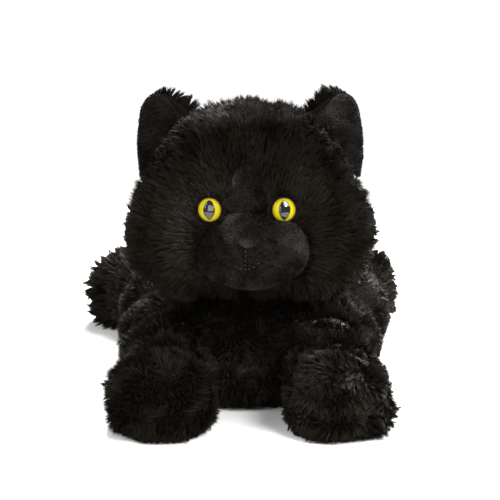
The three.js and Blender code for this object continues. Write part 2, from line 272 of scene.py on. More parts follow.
@dataclass(frozen=True)
class VelourFinish:
    """Short dense velour with a lightly combed nap; its colour has soft lighter and darker patches, partly
    its own uneven tone and partly painted sheen.
    """

    name: str = "short_velour"
    dark: tuple[float, float, float] = (0.0026, 0.0019, 0.0010)
    light: tuple[float, float, float] = (0.0080, 0.0070, 0.0064)
    sheen: float = 0.02

    def material(self) -> bpy.types.Material:
        """The material."""
        shader = Shader(self.name)
        # Soft patches in the colour: partly the velour's own uneven tone, partly painted sheen.
        brushed = shader.noise(90.0, 4.0, (1.0, 1.0, 0.45))
        colour = shader.ramp(brushed, [(0.35, self.dark), (0.68, self.light)])
        shader.join(colour, shader.surface.inputs["Base Color"])
        shader.settle(
            Roughness=0.72,
            Specular_IOR_Level=0.03,
            Sheen_Weight=self.sheen,
            Sheen_Roughness=0.38,
            Sheen_Tint=(1.0, 0.95, 0.95, 1.0),
        )
        shader.bump(shader.noise(1900.0, 2.0, (1.0, 1.0, 0.5)), 0.55, 0.0005)
        return shader.material


@dataclass(frozen=True)
class VelourNapFinish(PileFinish):
    """The velour's short nap, which is finer and greyer than the long pile."""

    name: str = "velour_nap"
    deep: tuple[float, float, float] = (0.0020, 0.0015, 0.0005)
    middle: tuple[float, float, float] = (0.0110, 0.0094, 0.0084)
    bright: tuple[float, float, float] = (0.0330, 0.0300, 0.0295)
    root_shade: float = 0.60
    gloss: float = 0.03
    glint: tuple[float, float, float] = (1.0, 0.95, 0.95)


@dataclass(frozen=True)
class PlasticFinish:
    """Moulded plastic."""

    name: str
    colour: tuple[float, float, float]
    roughness: float
    gloss: float = 0.5
    alpha: float = 1.0

    def material(self) -> bpy.types.Material:
        """The material, with the faint flow marks of a moulding on opaque plastic."""
        shader = Shader(self.name)
        shader.settle(
            Base_Color=(*self.colour, 1.0),
            Roughness=self.roughness,
            Specular_IOR_Level=self.gloss,
            Alpha=self.alpha,
        )
        if self.alpha == 1.0:
            marks = shader.noise(300.0, 3.0)
            lighter = tuple(min(1.0, value * 1.12 + 0.002) for value in self.colour)
            colour = shader.ramp(marks, [(0.3, self.colour), (0.7, lighter)])
            shader.join(colour, shader.surface.inputs["Base Color"])
        return shader.material


@dataclass(frozen=True)
class IrisFinish:
    """Yellow paint behind the clear dome, deeper and more amber towards the rim."""

    name: str = "painted_iris"
    core: tuple[float, float, float] = (0.30, 0.28, 0.001)
    field_colour: tuple[float, float, float] = (0.29, 0.26, 0.001)
    rim: tuple[float, float, float] = (0.21, 0.135, 0.001)
    edge: tuple[float, float, float] = (0.04, 0.02, 0.001)

    def material(self) -> bpy.types.Material:
        """The material, which reads the disc's own map."""
        shader = Shader(self.name)
        where = shader.add("ShaderNodeUVMap", uv_map=DISC_MAP)
        length = shader.add("ShaderNodeVectorMath", operation="LENGTH")
        shader.join(where.outputs["UV"], length.inputs[0])
        stops = [(0.0, self.core), (0.68, self.field_colour), (0.88, self.rim), (0.96, self.edge)]
        shader.join(shader.ramp(length.outputs["Value"], stops), shader.surface.inputs["Base Color"])
        shader.settle(Roughness=0.5, Specular_IOR_Level=0.04)
        return shader.material


@dataclass(frozen=True)
class FibreFinish:
    """Loose polyester filling."""

    name: str = "polyester_fibre"

    def material(self) -> bpy.types.Material:
        """The material."""
        shader = Shader(self.name)
        wisps = shader.noise(260.0, 6.0, (1.0, 0.6, 1.0))
        colour = shader.ramp(wisps, [(0.3, (0.62, 0.61, 0.58)), (0.7, (0.86, 0.85, 0.82))])
        shader.join(colour, shader.surface.inputs["Base Color"])
        shader.settle(Roughness=1.0, Sheen_Weight=0.3)
        shader.bump(wisps, 0.8, 0.002)
        return shader.material


@dataclass(frozen=True)
class ThreadFinish:
    """Twisted sewing thread."""

    name: str = "sewing_thread"

    def material(self) -> bpy.types.Material:
        """The material."""
        shader = Shader(self.name)
        twist = shader.noise(2600.0, 2.0, (1.0, 1.0, 3.0))
        colour = shader.ramp(twist, [(0.3, (0.008, 0.007, 0.006)), (0.7, (0.026, 0.024, 0.023))])
        shader.join(colour, shader.surface.inputs["Base Color"])
        shader.settle(Roughness=0.55, Specular_IOR_Level=0.15)
        shader.bump(twist, 0.6, 0.0002)
        return shader.material


class Finishes:
    """Every finish, made once and shared by the pieces."""

    def __init__(self) -> None:
        """Makes the materials."""
        self.pile = PileFinish().material()
        self.backing = BackingFinish().material()
        self.velour = VelourFinish().material()
        self.nap = VelourNapFinish().material()
        ear_velour = VelourFinish("ear_velour", (0.0016, 0.0011, 0.0006), (0.0064, 0.0054, 0.0048))
        self.lining = ear_velour.material()
        self.filling = FibreFinish().material()
        self.thread = ThreadFinish().material()
        self.iris = IrisFinish().material()
        self.clear = PlasticFinish("clear_dome", (0.02, 0.02, 0.02), 0.02, alpha=0.05).material()
        self.black = PlasticFinish("black_moulding", (0.003, 0.003, 0.003), 0.8, gloss=0.0).material()
        self.pupil = PlasticFinish("polished_pupil", (0.002, 0.002, 0.002), 0.02).material()
        self.white = PlasticFinish("white_moulding", (0.72, 0.72, 0.69), 0.45).material()


# ---- Mesh helpers ---------------------------------------------------------------------------


def object_from(name: str, bm: bmesh.types.BMesh, smooth: bool = True) -> bpy.types.Object:
    """Turns a bmesh into an object in the scene.

    Args:
        name: the piece's name.
        bm: the mesh being built, which is freed.
        smooth: whether its faces are shaded smooth.

    Returns:
        The new object.
    """
    mesh = bpy.data.meshes.new(name)
    bm.to_mesh(mesh)
    bm.free()
    mesh.polygons.foreach_set("use_smooth", np.full(len(mesh.polygons), smooth))
    obj = bpy.data.objects.new(name, mesh)
    bpy.context.collection.objects.link(obj)
    return obj


def apply_modifiers(obj: bpy.types.Object) -> None:
    """Replaces an object's mesh with what its modifiers make of it."""
    graph = bpy.context.evaluated_depsgraph_get()
    mesh = bpy.data.meshes.new_from_object(obj.evaluated_get(graph))
    obj.modifiers.clear()
    obj.data = mesh
    mesh.name = obj.name


def coordinates(obj: bpy.types.Object) -> Points:
    """The object's vertices, in millimetres."""
    found = np.empty(len(obj.data.vertices) * 3)
    obj.data.vertices.foreach_get("co", found)
    return found.reshape(-1, 3) / MM


def set_coordinates(obj: bpy.types.Object, points: Points) -> None:
    """Moves the object's vertices.

    Args:
        obj: the object.
        points: their new places, in millimetres.
    """
    obj.data.vertices.foreach_set("co", (points * MM).ravel())
    obj.data.update()


def normals_of(obj: bpy.types.Object) -> Points:
    """The object's vertex normals."""
    found = np.empty(len(obj.data.vertices) * 3)
    obj.data.vertex_normals.foreach_get("vector", found)
    return found.reshape(-1, 3)


@dataclass(frozen=True)
class Lump:
    """An ellipsoid of filling, one of several that make a stuffed shape.

    Attributes:
        at: its centre, in mm.
        radii: its half sizes, in mm.
        yaw: its turn about Z, in degrees.
    """

    at: tuple[float, float, float]
    radii: tuple[float, float, float]
    yaw: float = 0.0

    def matrix(self) -> Matrix:
        """Takes a unit ball to this lump, in metres."""
        turn = Matrix.Rotation(math.radians(self.yaw), 4, "Z")
        scale = Matrix.Diagonal((*(radius * MM for radius in self.radii), 1.0))
        return Matrix.Translation(Vector(self.at) * MM) @ turn @ scale

    def depth(self, points: Points, grow: float = 0.0) -> np.ndarray:
        """How far out points are: below 1 is inside the lump, grown by some mm."""
        turn = np.array(Matrix.Rotation(math.radians(self.yaw), 3, "Z"))
        local = (points - np.array(self.at)) @ turn
        return np.linalg.norm(local / (np.array(self.radii) + grow), axis=1)


def inside(points: Points, lumps: list[Lump], grow: float = 0.0) -> np.ndarray:
    """Whether each point is inside any of the lumps, grown by some mm."""
    held = np.zeros(len(points), bool)
    for lump in lumps:
        held |= lump.depth(points, grow) < 1.0
    return held


def remeshed(obj: bpy.types.Object, voxel: float) -> None:
    """Rebuilds a piece as one closed surface, with a fineness in mm."""
    fuse = obj.modifiers.new("fuse", "REMESH")
    fuse.mode = "VOXEL"
    fuse.voxel_size = voxel * MM
    apply_modifiers(obj)


def relaxed(obj: bpy.types.Object, times: int) -> None:
    """Evens out a surface, some number of times."""
    bm = bmesh.new()
    bm.from_mesh(obj.data)
    for _ in range(times):
        bmesh.ops.smooth_vert(
            bm, verts=bm.verts, factor=0.5, use_axis_x=True, use_axis_y=True, use_axis_z=True
        )
    bm.to_mesh(obj.data)
    bm.free()


def shade_smooth(obj: bpy.types.Object) -> None:
    """Shades every face of a piece smooth."""
    obj.data.polygons.foreach_set("use_smooth", np.full(len(obj.data.polygons), True))


def stuffed_shape(name: str, lumps: list[Lump], voxel: float, relax: int) -> bpy.types.Object:
    """Fuses lumps into one closed skin and eases the joins between them.

    Args:
        name: the piece's name.
        lumps: what fills it.
        voxel: the mesh's fineness, in mm.
        relax: how many times the surface is smoothed.

    Returns:
        The skin, flattened where it lies on the floor.
    """
    bm = bmesh.new()
    for lump in lumps:
        bmesh.ops.create_icosphere(bm, subdivisions=4, radius=1.0, matrix=lump.matrix())
    obj = object_from(name, bm)
    remeshed(obj, voxel)
    relaxed(obj, relax)
    settle_on_floor(obj)
    shade_smooth(obj)
    return obj


def settle_on_floor(obj: bpy.types.Object) -> None:
    """Flattens whatever would reach below the floor."""
    points = coordinates(obj)
    points[:, 2] = np.maximum(points[:, 2], FLOOR_CLEARANCE)
    set_coordinates(obj, points)


@dataclass(frozen=True)
class Plumping:
    """A short cloth simulation that fills a skin out against its seams.

    Attributes:
        pressure: of the filling.
        frames: how long it runs.
        most: how far any point may move, in mm.
    """

    pressure: float = 4.0
    frames: int = 20
    most: float = 3.5

    def fill(self, obj: bpy.types.Object) -> None:
        """Runs it on a skin, caps the moves and leaves a plain mesh."""
        start = coordinates(obj)
        scene = bpy.context.scene
        scene.frame_set(1)
        cloth = obj.modifiers.new("plump", "CLOTH")
        cloth.settings.use_pressure = True
        cloth.settings.uniform_pressure_force = self.pressure
        cloth.settings.effector_weights.gravity = 0.0
        cloth.settings.quality = 4
        cloth.point_cache.frame_start = 1
        cloth.point_cache.frame_end = self.frames
        for number in range(1, self.frames + 1):
            scene.frame_set(number)
        apply_modifiers(obj)
        scene.frame_set(1)
        moves = coordinates(obj) - start
        lengths = np.linalg.norm(moves, axis=1, keepdims=True)
        set_coordinates(obj, start + moves * np.minimum(1.0, self.most / np.maximum(lengths, 1e-9)))
        settle_on_floor(obj)


def filling_of(name: str, skin: bpy.types.Object, ease: float, voxel: float) -> bpy.types.Object:
    """The lump of fibre inside a skin.

    Args:
        name: the piece's name.
        skin: the closed skin around it.
        ease: how far inside the skin it stays, in mm.
        voxel: its fineness, in mm.

    Returns:
        The filling.
    """
    obj = bpy.data.objects.new(name, skin.data.copy())
    bpy.context.collection.objects.link(obj)
    set_coordinates(obj, coordinates(obj) - normals_of(obj) * ease)
    remeshed(obj, voxel)
    shade_smooth(obj)
    return obj


def spun(name: str, profile: list[tuple[float, float]], place: Matrix, steps: int = 48) -> bpy.types.Object:
    """Spins a profile about its own Z axis.

    Args:
        name: the piece's name.
        profile: radius and height of each point, in mm, closed on the axis or on itself.
        place: takes the spun shape to where it belongs, in metres.
        steps: sides of the full turn.

    Returns:
        The closed solid.
    """
    bm = bmesh.new()
    points = [bm.verts.new((radius * MM, 0.0, height * MM)) for radius, height in profile]
    edges = [bm.edges.new(pair) for pair in zip(points, points[1:])]
    bmesh.ops.spin(
        bm,
        geom=points + edges,
        cent=(0.0, 0.0, 0.0),
        axis=(0.0, 0.0, 1.0),
        angle=math.tau,
        steps=steps,
        use_merge=True,
    )
    bmesh.ops.remove_doubles(bm, verts=bm.verts, dist=1e-6)
    bmesh.ops.recalc_face_normals(bm, faces=bm.faces)
    bmesh.ops.transform(bm, matrix=place, verts=bm.verts)
    return object_from(name, bm)


def wear(obj: bpy.types.Object, material: bpy.types.Material) -> bpy.types.Object:
    """Gives a piece its material."""
    obj.data.materials.clear()
    obj.data.materials.append(material)
    return obj


# ---- Pile -----------------------------------------------------------------------------------


@dataclass(frozen=True)
class Pile:
    """How one coat of pile grows.

    Attributes:
        strands: how many.
        length: from root to tip, in mm.
        width: of a strand at its root, in mm.
        tousle: how far the nap wanders from the combed way, 0 to 1.
        tuft: strands in a tuft.
        gather: how far a tuft's tips close up, 0 to 1.
        uneven: how much lengths vary, 0 to 1.
        droop: how far it hangs, 0 to 1.
        seed: of its random draws.
    """

    strands: int
    length: float
    width: float
    tousle: float
    tuft: int
    gather: float
    uneven: float
    droop: float
    seed: int

    def grow(
        self, name: str, base: bpy.types.Object, flow: Field, share: Field, cover: Field, tint: Field
    ) -> bpy.types.Object:
        """Grows the coat on a skin.

        Args:
            name: the coat's name.
            base: the skin that it is rooted in.
            flow: which way the pile is combed at points with normals, as long as it lies flat.
            share: the share of the full length there.
            cover: how densely it grows there, 0 to 1.
            tint: how much lighter the strands are coloured there, -1 to 1: the dye's uneven patches, and
                painted light and shade where the caller paints it.

        Returns:
            The coat as one mesh of bent, tapering strands.
        """
        rng = np.random.default_rng(self.seed)
        count = int(self.strands * (1.0))
        roots, normals = scatter(base, count, cover, rng)
        owner, leaders = tufts_of(roots, max(1, count // self.tuft))
        tilt = self.tousle * (drift(roots[leaders], CURL, rng) + 0.35 * rng.normal(size=(len(leaders), 3)))
        combed = flow(roots, normals)
        combed -= normals * np.sum(combed * normals, axis=1, keepdims=True)
        flat = np.minimum(1.0, np.linalg.norm(combed, axis=1, keepdims=True))
        loose = rng.normal(size=roots.shape) * self.tousle * 0.25
        hang = np.array([0.0, 0.0, -self.droop])
        lean = unit(normals * (1.0 - 0.72 * flat) + combed + tilt[owner] + loose + hang)
        rise = unit(normals + 0.5 * lean)
        swell = np.clip(drift(roots[leaders], 1.6 * CURL, rng)[:, 0], -1.5, 1.5)
        tuft_size = 1.0 + self.uneven * (0.45 * swell + rng.uniform(-0.5, 0.3, len(leaders)))
        own_size = 1.0 + 0.6 * self.uneven * rng.uniform(-1.0, 0.5, len(roots))
        lengths = (self.length * share(roots, normals) * tuft_size[owner] * own_size)[:, None]
        bend = roots + 0.45 * lengths * rise
        tips = bend + 0.6 * lengths * lean
        tips += self.gather * (tips[leaders][owner] - tips)
        bend += 0.35 * self.gather * (bend[leaders][owner] - bend)
        facing = normals + FLUTTER * rng.normal(size=roots.shape)
        across = unit(np.cross(unit(tips - roots), facing))
        tone = 0.42 * rng.random(len(leaders))[owner] + 0.42 * rng.random(len(roots)) + 0.05
        tone = np.clip(tone + tint(roots, normals), 0.0, 1.0)
        return strand_mesh(name, roots, bend, tips, across * self.width * 0.5, tone)


def drift(points: Points, wavelength: float, rng: np.random.Generator) -> Points:
    """A smooth random field of directions.

    Args:
        points: where it is wanted, in mm.
        wavelength: how far apart its changes are, in mm.
        rng: the source of its waves.

    Returns:
        A vector of about unit spread at each point.
    """
    waves = rng.normal(size=(14, 3)) * (math.tau / wavelength / math.sqrt(3.0))
    phases = rng.uniform(0.0, math.tau, 14)
    aims = rng.normal(size=(14, 3)) / math.sqrt(7.0)
    return np.sin(points @ waves.T + phases) @ aims


def patchy(points: Points, normals: Points) -> np.ndarray:
    """The slight unevenness of a dye that was worked in with a brush."""
    return 0.14 * drift(points, 55.0, np.random.default_rng(3))[:, 0]


def full_length(points: Points, normals: Points) -> np.ndarray:
    """The same length all over."""
    return np.ones(len(points))


def unit(vectors: np.ndarray) -> np.ndarray:
    """The vectors at length 1."""
    return vectors / np.maximum(np.linalg.norm(vectors, axis=1, keepdims=True), 1e-9)


def scatter(
    base: bpy.types.Object, count: int, cover: Field, rng: np.random.Generator
) -> tuple[Points, Points]:
    """Draws root points on a skin.

    Args:
        base: the skin.
        count: how many.
        cover: how densely pile grows at points with normals.
        rng: the source of the draws.

    Returns:
        The points in mm, and the skin's normals there.
    """
    base.data.calc_loop_triangles()
    corners = np.empty(len(base.data.loop_triangles) * 3, np.int32)
    base.data.loop_triangles.foreach_get("vertices", corners)
    corners = corners.reshape(-1, 3)
    points, normals = coordinates(base), normals_of(base)
    a, b, c = (points[corners[:, i]] for i in range(3))
    area = np.linalg.norm(np.cross(b - a, c - a), axis=1)
    facing = unit(normals[corners].sum(axis=1))
    weight = area * cover((a + b + c) / 3.0, facing)
    pick = rng.choice(len(corners), count, p=weight / weight.sum())
    split = rng.random((count, 2))
    split = np.where(split.sum(axis=1, keepdims=True) > 1.0, 1.0 - split, split)
    blend = np.column_stack([1.0 - split.sum(axis=1), split])[:, :, None]
    chosen = corners[pick]
    return (points[chosen] * blend).sum(axis=1), unit((normals[chosen] * blend).sum(axis=1))


def tufts_of(roots: Points, count: int) -> tuple[np.ndarray, np.ndarray]:
    """Groups strands around the first few of them.

    Args:
        roots: every strand's root.
        count: how many tufts.

    Returns:
        Each strand's tuft, and the strand that leads each tuft.
    """
    leaders = np.arange(count)
    tree = KDTree(count)
    for index in range(count):
        tree.insert(roots[index], index)
    tree.balance()
    owner = np.fromiter((tree.find(root)[1] for root in roots), np.int32, len(roots))
    return owner, leaders


def strand_blade() -> tuple[list[tuple[float, float]], list[list[int]]]:
    """One strand's blade: two quads' worth of ribbon with its end drawn to a point.

    Returns:
        Each vertex's side and height, and the faces.
    """
    bm = bmesh.new()
    bmesh.ops.create_grid(bm, x_segments=1, y_segments=2, size=1.0)
    top = [vert for vert in bm.verts if vert.co.y > 0.5]
    bmesh.ops.pointmerge(bm, verts=top, merge_co=(0.0, 1.0, 0.0))
    bm.verts.index_update()
    places = [(vert.co.x, (vert.co.y + 1.0) / 2.0) for vert in bm.verts]
    faces = [[vert.index for vert in face.verts] for face in bm.faces]
    bm.free()
    return places, faces


def strand_mesh(
    name: str, roots: Points, bend: Points, tips: Points, half: Points, tone: np.ndarray
) -> bpy.types.Object:
    """Copies the blade along every strand.

    Args:
        name: the coat's name.
        roots: where strands start, in mm.
        bend: the middle control point of each strand's curve.
        tips: where they end.
        half: half a strand's width, as a vector across it.
        tone: each strand's tone, 0 to 1.

    Returns:
        The coat.
    """
    places, faces = strand_blade()
    count = len(roots)
    points = np.empty((count, len(places), 3))
    for column, (side, height) in enumerate(places):
        middle = (1 - height) ** 2 * roots + 2 * height * (1 - height) * bend + height**2 * tips
        points[:, column] = middle + side * (1.0 - 0.55 * height) * half
    points[:, :, 2] = np.maximum(points[:, :, 2], FLOOR_CLEARANCE)
    flat = np.concatenate([np.array(face) for face in faces])
    sizes = np.array([len(face) for face in faces])
    offsets = (np.arange(count) * len(places))[:, None]
    mesh = bpy.data.meshes.new(name)
    mesh.vertices.add(count * len(places))
    mesh.vertices.foreach_set("co", (points * MM).ravel())
    mesh.loops.add(count * len(flat))
    mesh.loops.foreach_set("vertex_index", (flat[None, :] + offsets).ravel().astype(np.int32))
    mesh.polygons.add(count * len(sizes))
    starts = np.concatenate([[0], np.cumsum(sizes)[:-1]])
    loop_offsets = (np.arange(count) * len(flat))[:, None]
    mesh.polygons.foreach_set("loop_start", (starts[None, :] + loop_offsets).ravel().astype(np.int32))
    mesh.update(calc_edges=True)
    heights = np.array([places[index][1] for index in flat])
    layer = mesh.uv_layers.new(name=PILE_MAP)
    across = np.repeat(tone * 0.96 + 0.02, len(flat))
    layer.data.foreach_set("uv", np.column_stack([across, np.tile(heights * 0.96 + 0.02, count)]).ravel())
    mesh.polygons.foreach_set("use_smooth", np.full(len(mesh.polygons), True))
    obj = bpy.data.objects.new(name, mesh)
    bpy.context.collection.objects.link(obj)
    return obj


# ---- Places in the frame --------------------------------------------------------------------


def pivot_of(joint: str) -> Vector:
    """Where a joint turns, in mm."""
    found = next(item for item in frame["joints"] if item["name"] == joint)
    return Vector(found["pos_m"]) / MM


def box_of(node: str) -> tuple[Vector, Vector]:
    """A CAD node's lowest and highest corners, in mm."""
    low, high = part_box(node)
    return Vector(low) / MM, Vector(high) / MM


def centre_of(node: str) -> Vector:
    """The middle of a CAD node's box, in mm."""
    low, high = box_of(node)
    return (low + high) / 2.0


def placed(lumps: tuple[Lump, ...], origin: Vector, yaw: float = 0.0) -> list[Lump]:
    """Moves lumps from a piece's own axes to the frame.

    Args:
        lumps: the lumps about the piece's own origin.
        origin: where that is, in mm.
        yaw: how far the piece is turned about Z, in degrees.

    Returns:
        The lumps in the frame.
    """
    turn = Matrix.Rotation(math.radians(yaw), 3, "Z")
    return [Lump(tuple(origin + turn @ Vector(lump.at)), lump.radii, lump.yaw + yaw) for lump in lumps]


def ramp_between(values: np.ndarray, start: float, end: float) -> np.ndarray:
    """0 before start, 1 after end, and smooth between."""
    share = np.clip((values - start) / (end - start), 0.0, 1.0)
    return share * share * (3.0 - 2.0 * share)


def crease(obj: bpy.types.Object, path: list[Vector], width: float, depth: float) -> None:
    """Presses a soft groove into a skin.

    Args:
        obj: the skin.
        path: points along the groove, in mm.
        width: of the groove to either side, in mm.
        depth: how far it is pressed in, in mm. A negative depth raises a welt.
    """
    points = coordinates(obj)
    nearest = np.full(len(points), np.inf)
    for start, end in zip(path, path[1:]):
        along = np.array(end - start)
        share = np.clip((points - np.array(start)) @ along / (along @ along), 0.0, 1.0)
        away = np.linalg.norm(points - (np.array(start) + share[:, None] * along), axis=1)
        nearest = np.minimum(nearest, away)
    push = depth * np.exp(-((nearest / width) ** 2))
    set_coordinates(obj, points - normals_of(obj) * push[:, None])


def refine(obj: bpy.types.Object, levels: int = 1) -> None:
    """Gives a skin a finer, rounder mesh."""
    finer = obj.modifiers.new("refine", "SUBSURF")
    finer.levels = levels
    finer.render_levels = levels
    apply_modifiers(obj)


class Surface:
    """Looks up points on a finished skin."""

    def __init__(self, obj: bpy.types.Object) -> None:
        """Indexes the skin."""
        self.tree = BVHTree.FromObject(obj, bpy.context.evaluated_depsgraph_get())

    def front(self, across: float, height: float) -> tuple[Vector, Vector]:
        """The foremost point at a place seen from the front.

        Args:
            across: its X, in mm.
            height: its Z, in mm.

        Returns:
            The point in mm, and the skin's normal there.
        """
        start = Vector((across * MM, -1.0, height * MM))
        point, normal, _, _ = self.tree.ray_cast(start, Vector((0.0, 1.0, 0.0)))
        if point is None:
            point, normal, _, _ = self.tree.find_nearest(Vector((across, -150.0, height)) * MM)
        return point / MM, normal


# ---- The cat --------------------------------------------------------------------------------


@dataclass
class FacePanel:
    """The velour panel of the muzzle and the bridge of the nose, with the nose and the mouth.

    Lumps are about the middle of the lowest front edge of the panel's box.
    """

    finishes: Finishes
    lumps: tuple[Lump, ...] = (
        Lump((1.0, 29.0, 21.5), (33.5, 28.0, 21.5)),
        Lump((19.5, 27.0, 24.5), (17.0, 23.0, 19.0)),
        Lump((-17.0, 28.0, 22.0), (15.5, 22.5, 18.0)),
        Lump((1.0, 27.0, 12.0), (24.0, 22.0, 12.0)),
        Lump((-2.5, 20.0, 33.0), (16.5, 18.0, 17.0)),
        Lump((-2.5, 10.0, 32.0), (9.0, 7.0, 6.5)),
        Lump((-2.0, 37.0, 47.0), (17.0, 18.0, 19.0)),
        Lump((-2.0, 51.0, 52.0), (14.5, 30.5, 29.0)),
    )
    voxel: float = 1.5
    relax: int = 10
    wrinkle_width: float = 1.4
    wrinkle_depth: float = 2.3
    dimples: tuple[tuple[float, float], ...] = ((17.0, 33.0), (13.0, 25.0))
    dimple_shift: float = -2.0
    dimple_width: float = 3.5
    dimple_depth: float = 2.0
    lip_rises: tuple[float, ...] = (29.0, 24.0, 17.0, 10.0)
    lip_width: float = 1.6
    lip_depth: float = 1.1
    nap_tint: float = -0.06
    # wrinkle_shade is painted shade on the nap within wrinkle_reach mm of the wrinkle.
    wrinkle_shade: float = 0.5
    wrinkle_reach: float = 2.2
    # Soft patches of painted highlight and painted shade on the nap: across and height from the panel's
    # origin, size, and gain, lighter where the gain is above 0.
    strokes: tuple[tuple[float, float, float, float], ...] = (
        (-11.5, 64.0, 9.0, 0.66),
        (-11.0, 53.0, 7.0, 0.50),
        (8.0, 64.0, 9.0, -0.85),
        (8.0, 52.0, 7.0, -0.70),
        (-11.0, 40.0, 9.5, 1.25),
        (6.0, 39.0, 6.5, -0.45),
        (21.0, 37.0, 7.0, 0.72),
        (30.0, 30.0, 7.5, 0.68),
        (35.0, 20.0, 7.0, 0.45),
        (25.0, 22.0, 7.0, -0.60),
        (12.0, 26.0, 6.0, -0.25),
        (-22.0, 24.0, 12.0, -0.60),
        (-24.0, 36.0, 7.0, -0.35),
        (-14.0, 11.0, 5.0, 0.34),
        (-26.0, 9.0, 5.0, 0.50),
        (1.0, -2.0, 5.0, 0.34),
        (14.0, 1.0, 5.0, 0.28),
        (-12.0, 0.0, 5.0, 0.22),
        (2.0, 13.0, 9.0, -0.22),
    )
    nap: Pile = Pile(40000, 1.4, 0.42, 0.35, 9, 0.25, 0.25, 0.0, 5)
    nose_nap: Pile = Pile(2600, 1.1, 0.36, 0.45, 9, 0.25, 0.25, 0.0, 6)
    wrinkle_rise: float = 48.0
    wrinkle_gap: float = 1.0
    mouth_across: float = -3.0
    # Painted highlight on the nose pad's nap.
    nose_tint: float = 0.34
    stitch_rise: float = 1.15

    def __post_init__(self) -> None:
        """Places the lumps."""
        low, high = box_of("face_panel")
        self.origin = Vector(((low.x + high.x) / 2.0, low.y, low.z))
        self.filled = placed(self.lumps, self.origin)

    def build(self) -> bpy.types.Object:
        """Makes the panel with its wrinkle, dimples and lip line."""
        panel = stuffed_shape("face_panel_velour", self.filled, self.voxel, self.relax)
        refine(panel)
        surface = Surface(panel)
        base = self.origin.z
        self.wrinkle = [
            surface.front(across, base + self.wrinkle_rise + 1.6 * math.cos(across / 9.0))[0]
            for across in range(-18, 15)
        ]
        crease(panel, self.wrinkle, self.wrinkle_width, self.wrinkle_depth)
        for side in (-1, 1):
            dimple = [
                surface.front(side * out + self.dimple_shift, base + rise)[0] for out, rise in self.dimples
            ]
            crease(panel, dimple, self.dimple_width, self.dimple_depth)
        lips = [surface.front(self.mouth_across, base + rise)[0] for rise in self.lip_rises]
        crease(panel, lips, self.lip_width, self.lip_depth)
        wear(panel, self.finishes.velour)
        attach(panel, "head")
        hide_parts("face_panel")
        self.surface = Surface(panel)
        self.panel = panel
        return panel

    def brushed(self, points: Points, normals: Points) -> np.ndarray:
        """Painted highlights and painted shade on the nap in soft patches, and painted shade along the
        wrinkle across the bridge.
        """
        tint = np.full(len(points), self.nap_tint)
        for across, height, size, gain in self.strokes:
            place = np.array([self.origin.x + across, self.origin.z + height])
            away = np.linalg.norm(points[:, [0, 2]] - place, axis=1)
            tint += gain * np.exp(-((away / size) ** 2))
        return tint - self.wrinkle_shade * (self.off_wrinkle(points) < self.wrinkle_reach)

    def off_wrinkle(self, points: Points) -> np.ndarray:
        """How far points lie from the wrinkle across the bridge, in mm."""
        line = np.array(self.wrinkle)
        return np.min(np.linalg.norm(points[:, None, :] - line[None, :, :], axis=2), axis=1)

    def dress(self, head_lumps: list[Lump]) -> bpy.types.Object:
        """Grows the velour's short nap, combed down and outward from the bridge.

        Args:
            head_lumps: what fills the head, inside which nothing shows.

        Returns:
            The nap.
        """

        def comb(points: Points, normals: Points) -> np.ndarray:
            """Down the bridge and outward over the lips."""
            outward = (points[:, 0] - self.origin.x + 2.0)[:, None] * np.array([0.02, 0.0, 0.0])
            return outward + np.array([0.0, -0.15, -0.45])

        def cover(points: Points, normals: Points) -> np.ndarray:
            """The side that shows outside the head."""
            free = (normals[:, 1] < 0.35) & ~inside(points, head_lumps, -9.0)
            return (free & (self.off_wrinkle(points) > self.wrinkle_gap)).astype(float)

        nap = self.nap.grow("face_panel_nap", self.panel, comb, full_length, cover, self.brushed)
        wear(nap, self.finishes.nap)
        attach(nap, "head")
        return nap

    def nose(self) -> bpy.types.Object:
        """Makes the nose: a small rounded triangle of velour that points down."""
        low, high = box_of("nose")
        middle = (low + high) / 2.0
        at, _ = self.surface.front(middle.x + 1.0, middle.z - 1.5)
        bm = bmesh.new()
        bmesh.ops.create_icosphere(bm, subdivisions=4, radius=1.0)
        for vert in bm.verts:
            narrow = 0.86 + 0.22 * max(-0.6, vert.co.z)
            vert.co = Vector((vert.co.x * narrow * 6.6, vert.co.y * 2.9, vert.co.z * 3.0)) * MM
        bmesh.ops.translate(bm, verts=bm.verts, vec=(at + Vector((0.0, 1.3, 0.0))) * MM)
        nose = wear(object_from("nose_pad", bm), self.finishes.velour)
        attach(nose, "head")
        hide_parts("nose")

        def comb(points: Points, normals: Points) -> np.ndarray:
            """Downwards."""
            return np.tile(np.array([0.0, -0.1, -0.4]), (len(points), 1))

        def front(points: Points, normals: Points) -> np.ndarray:
            """1 on the side that faces forward."""
            return (normals[:, 1] < 0.2).astype(float)

        def worn(points: Points, normals: Points) -> np.ndarray:
            """A painted highlight: lighter than the panel around it."""
            return np.full(len(points), self.nose_tint)

        nap = self.nose_nap.grow("nose_nap", nose, comb, front, front, worn)
        wear(nap, self.finishes.nap)
        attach(nap, "head")
        return nose

    def mouth(self) -> bpy.types.Object:
        """Makes the mouth: a row of small thread stitches, and one down from the nose."""
        bm = bmesh.new()
        base, middle, pitch = self.origin.z, self.mouth_across, 2.7
        rows = [(middle, base + 27.0 - pitch * step, 90.0) for step in range(4)]
        rows += [
            (middle + pitch * step, base + 16.5 + 0.06 * (pitch * step) ** 2, 8.0 * step)
            for step in range(-2, 4)
        ]
        for across, height, angle in rows:
            at, normal = self.surface.front(across, height)
            along = Matrix.Rotation(math.radians(-angle), 4, "Y")
            flat = normal.to_track_quat("-Y", "Z").to_matrix().to_4x4()
            size = Matrix.Diagonal((0.85 * MM, 0.3 * MM, 0.3 * MM, 1.0))
            matrix = Matrix.Translation((at + normal * self.stitch_rise) * MM) @ flat @ along @ size
            bmesh.ops.create_icosphere(bm, subdivisions=2, radius=1.0, matrix=matrix)
        stitches = wear(object_from("mouth_thread", bm), self.finishes.thread)
        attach(stitches, "head")
        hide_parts("mouth_stitches")
        return stitches


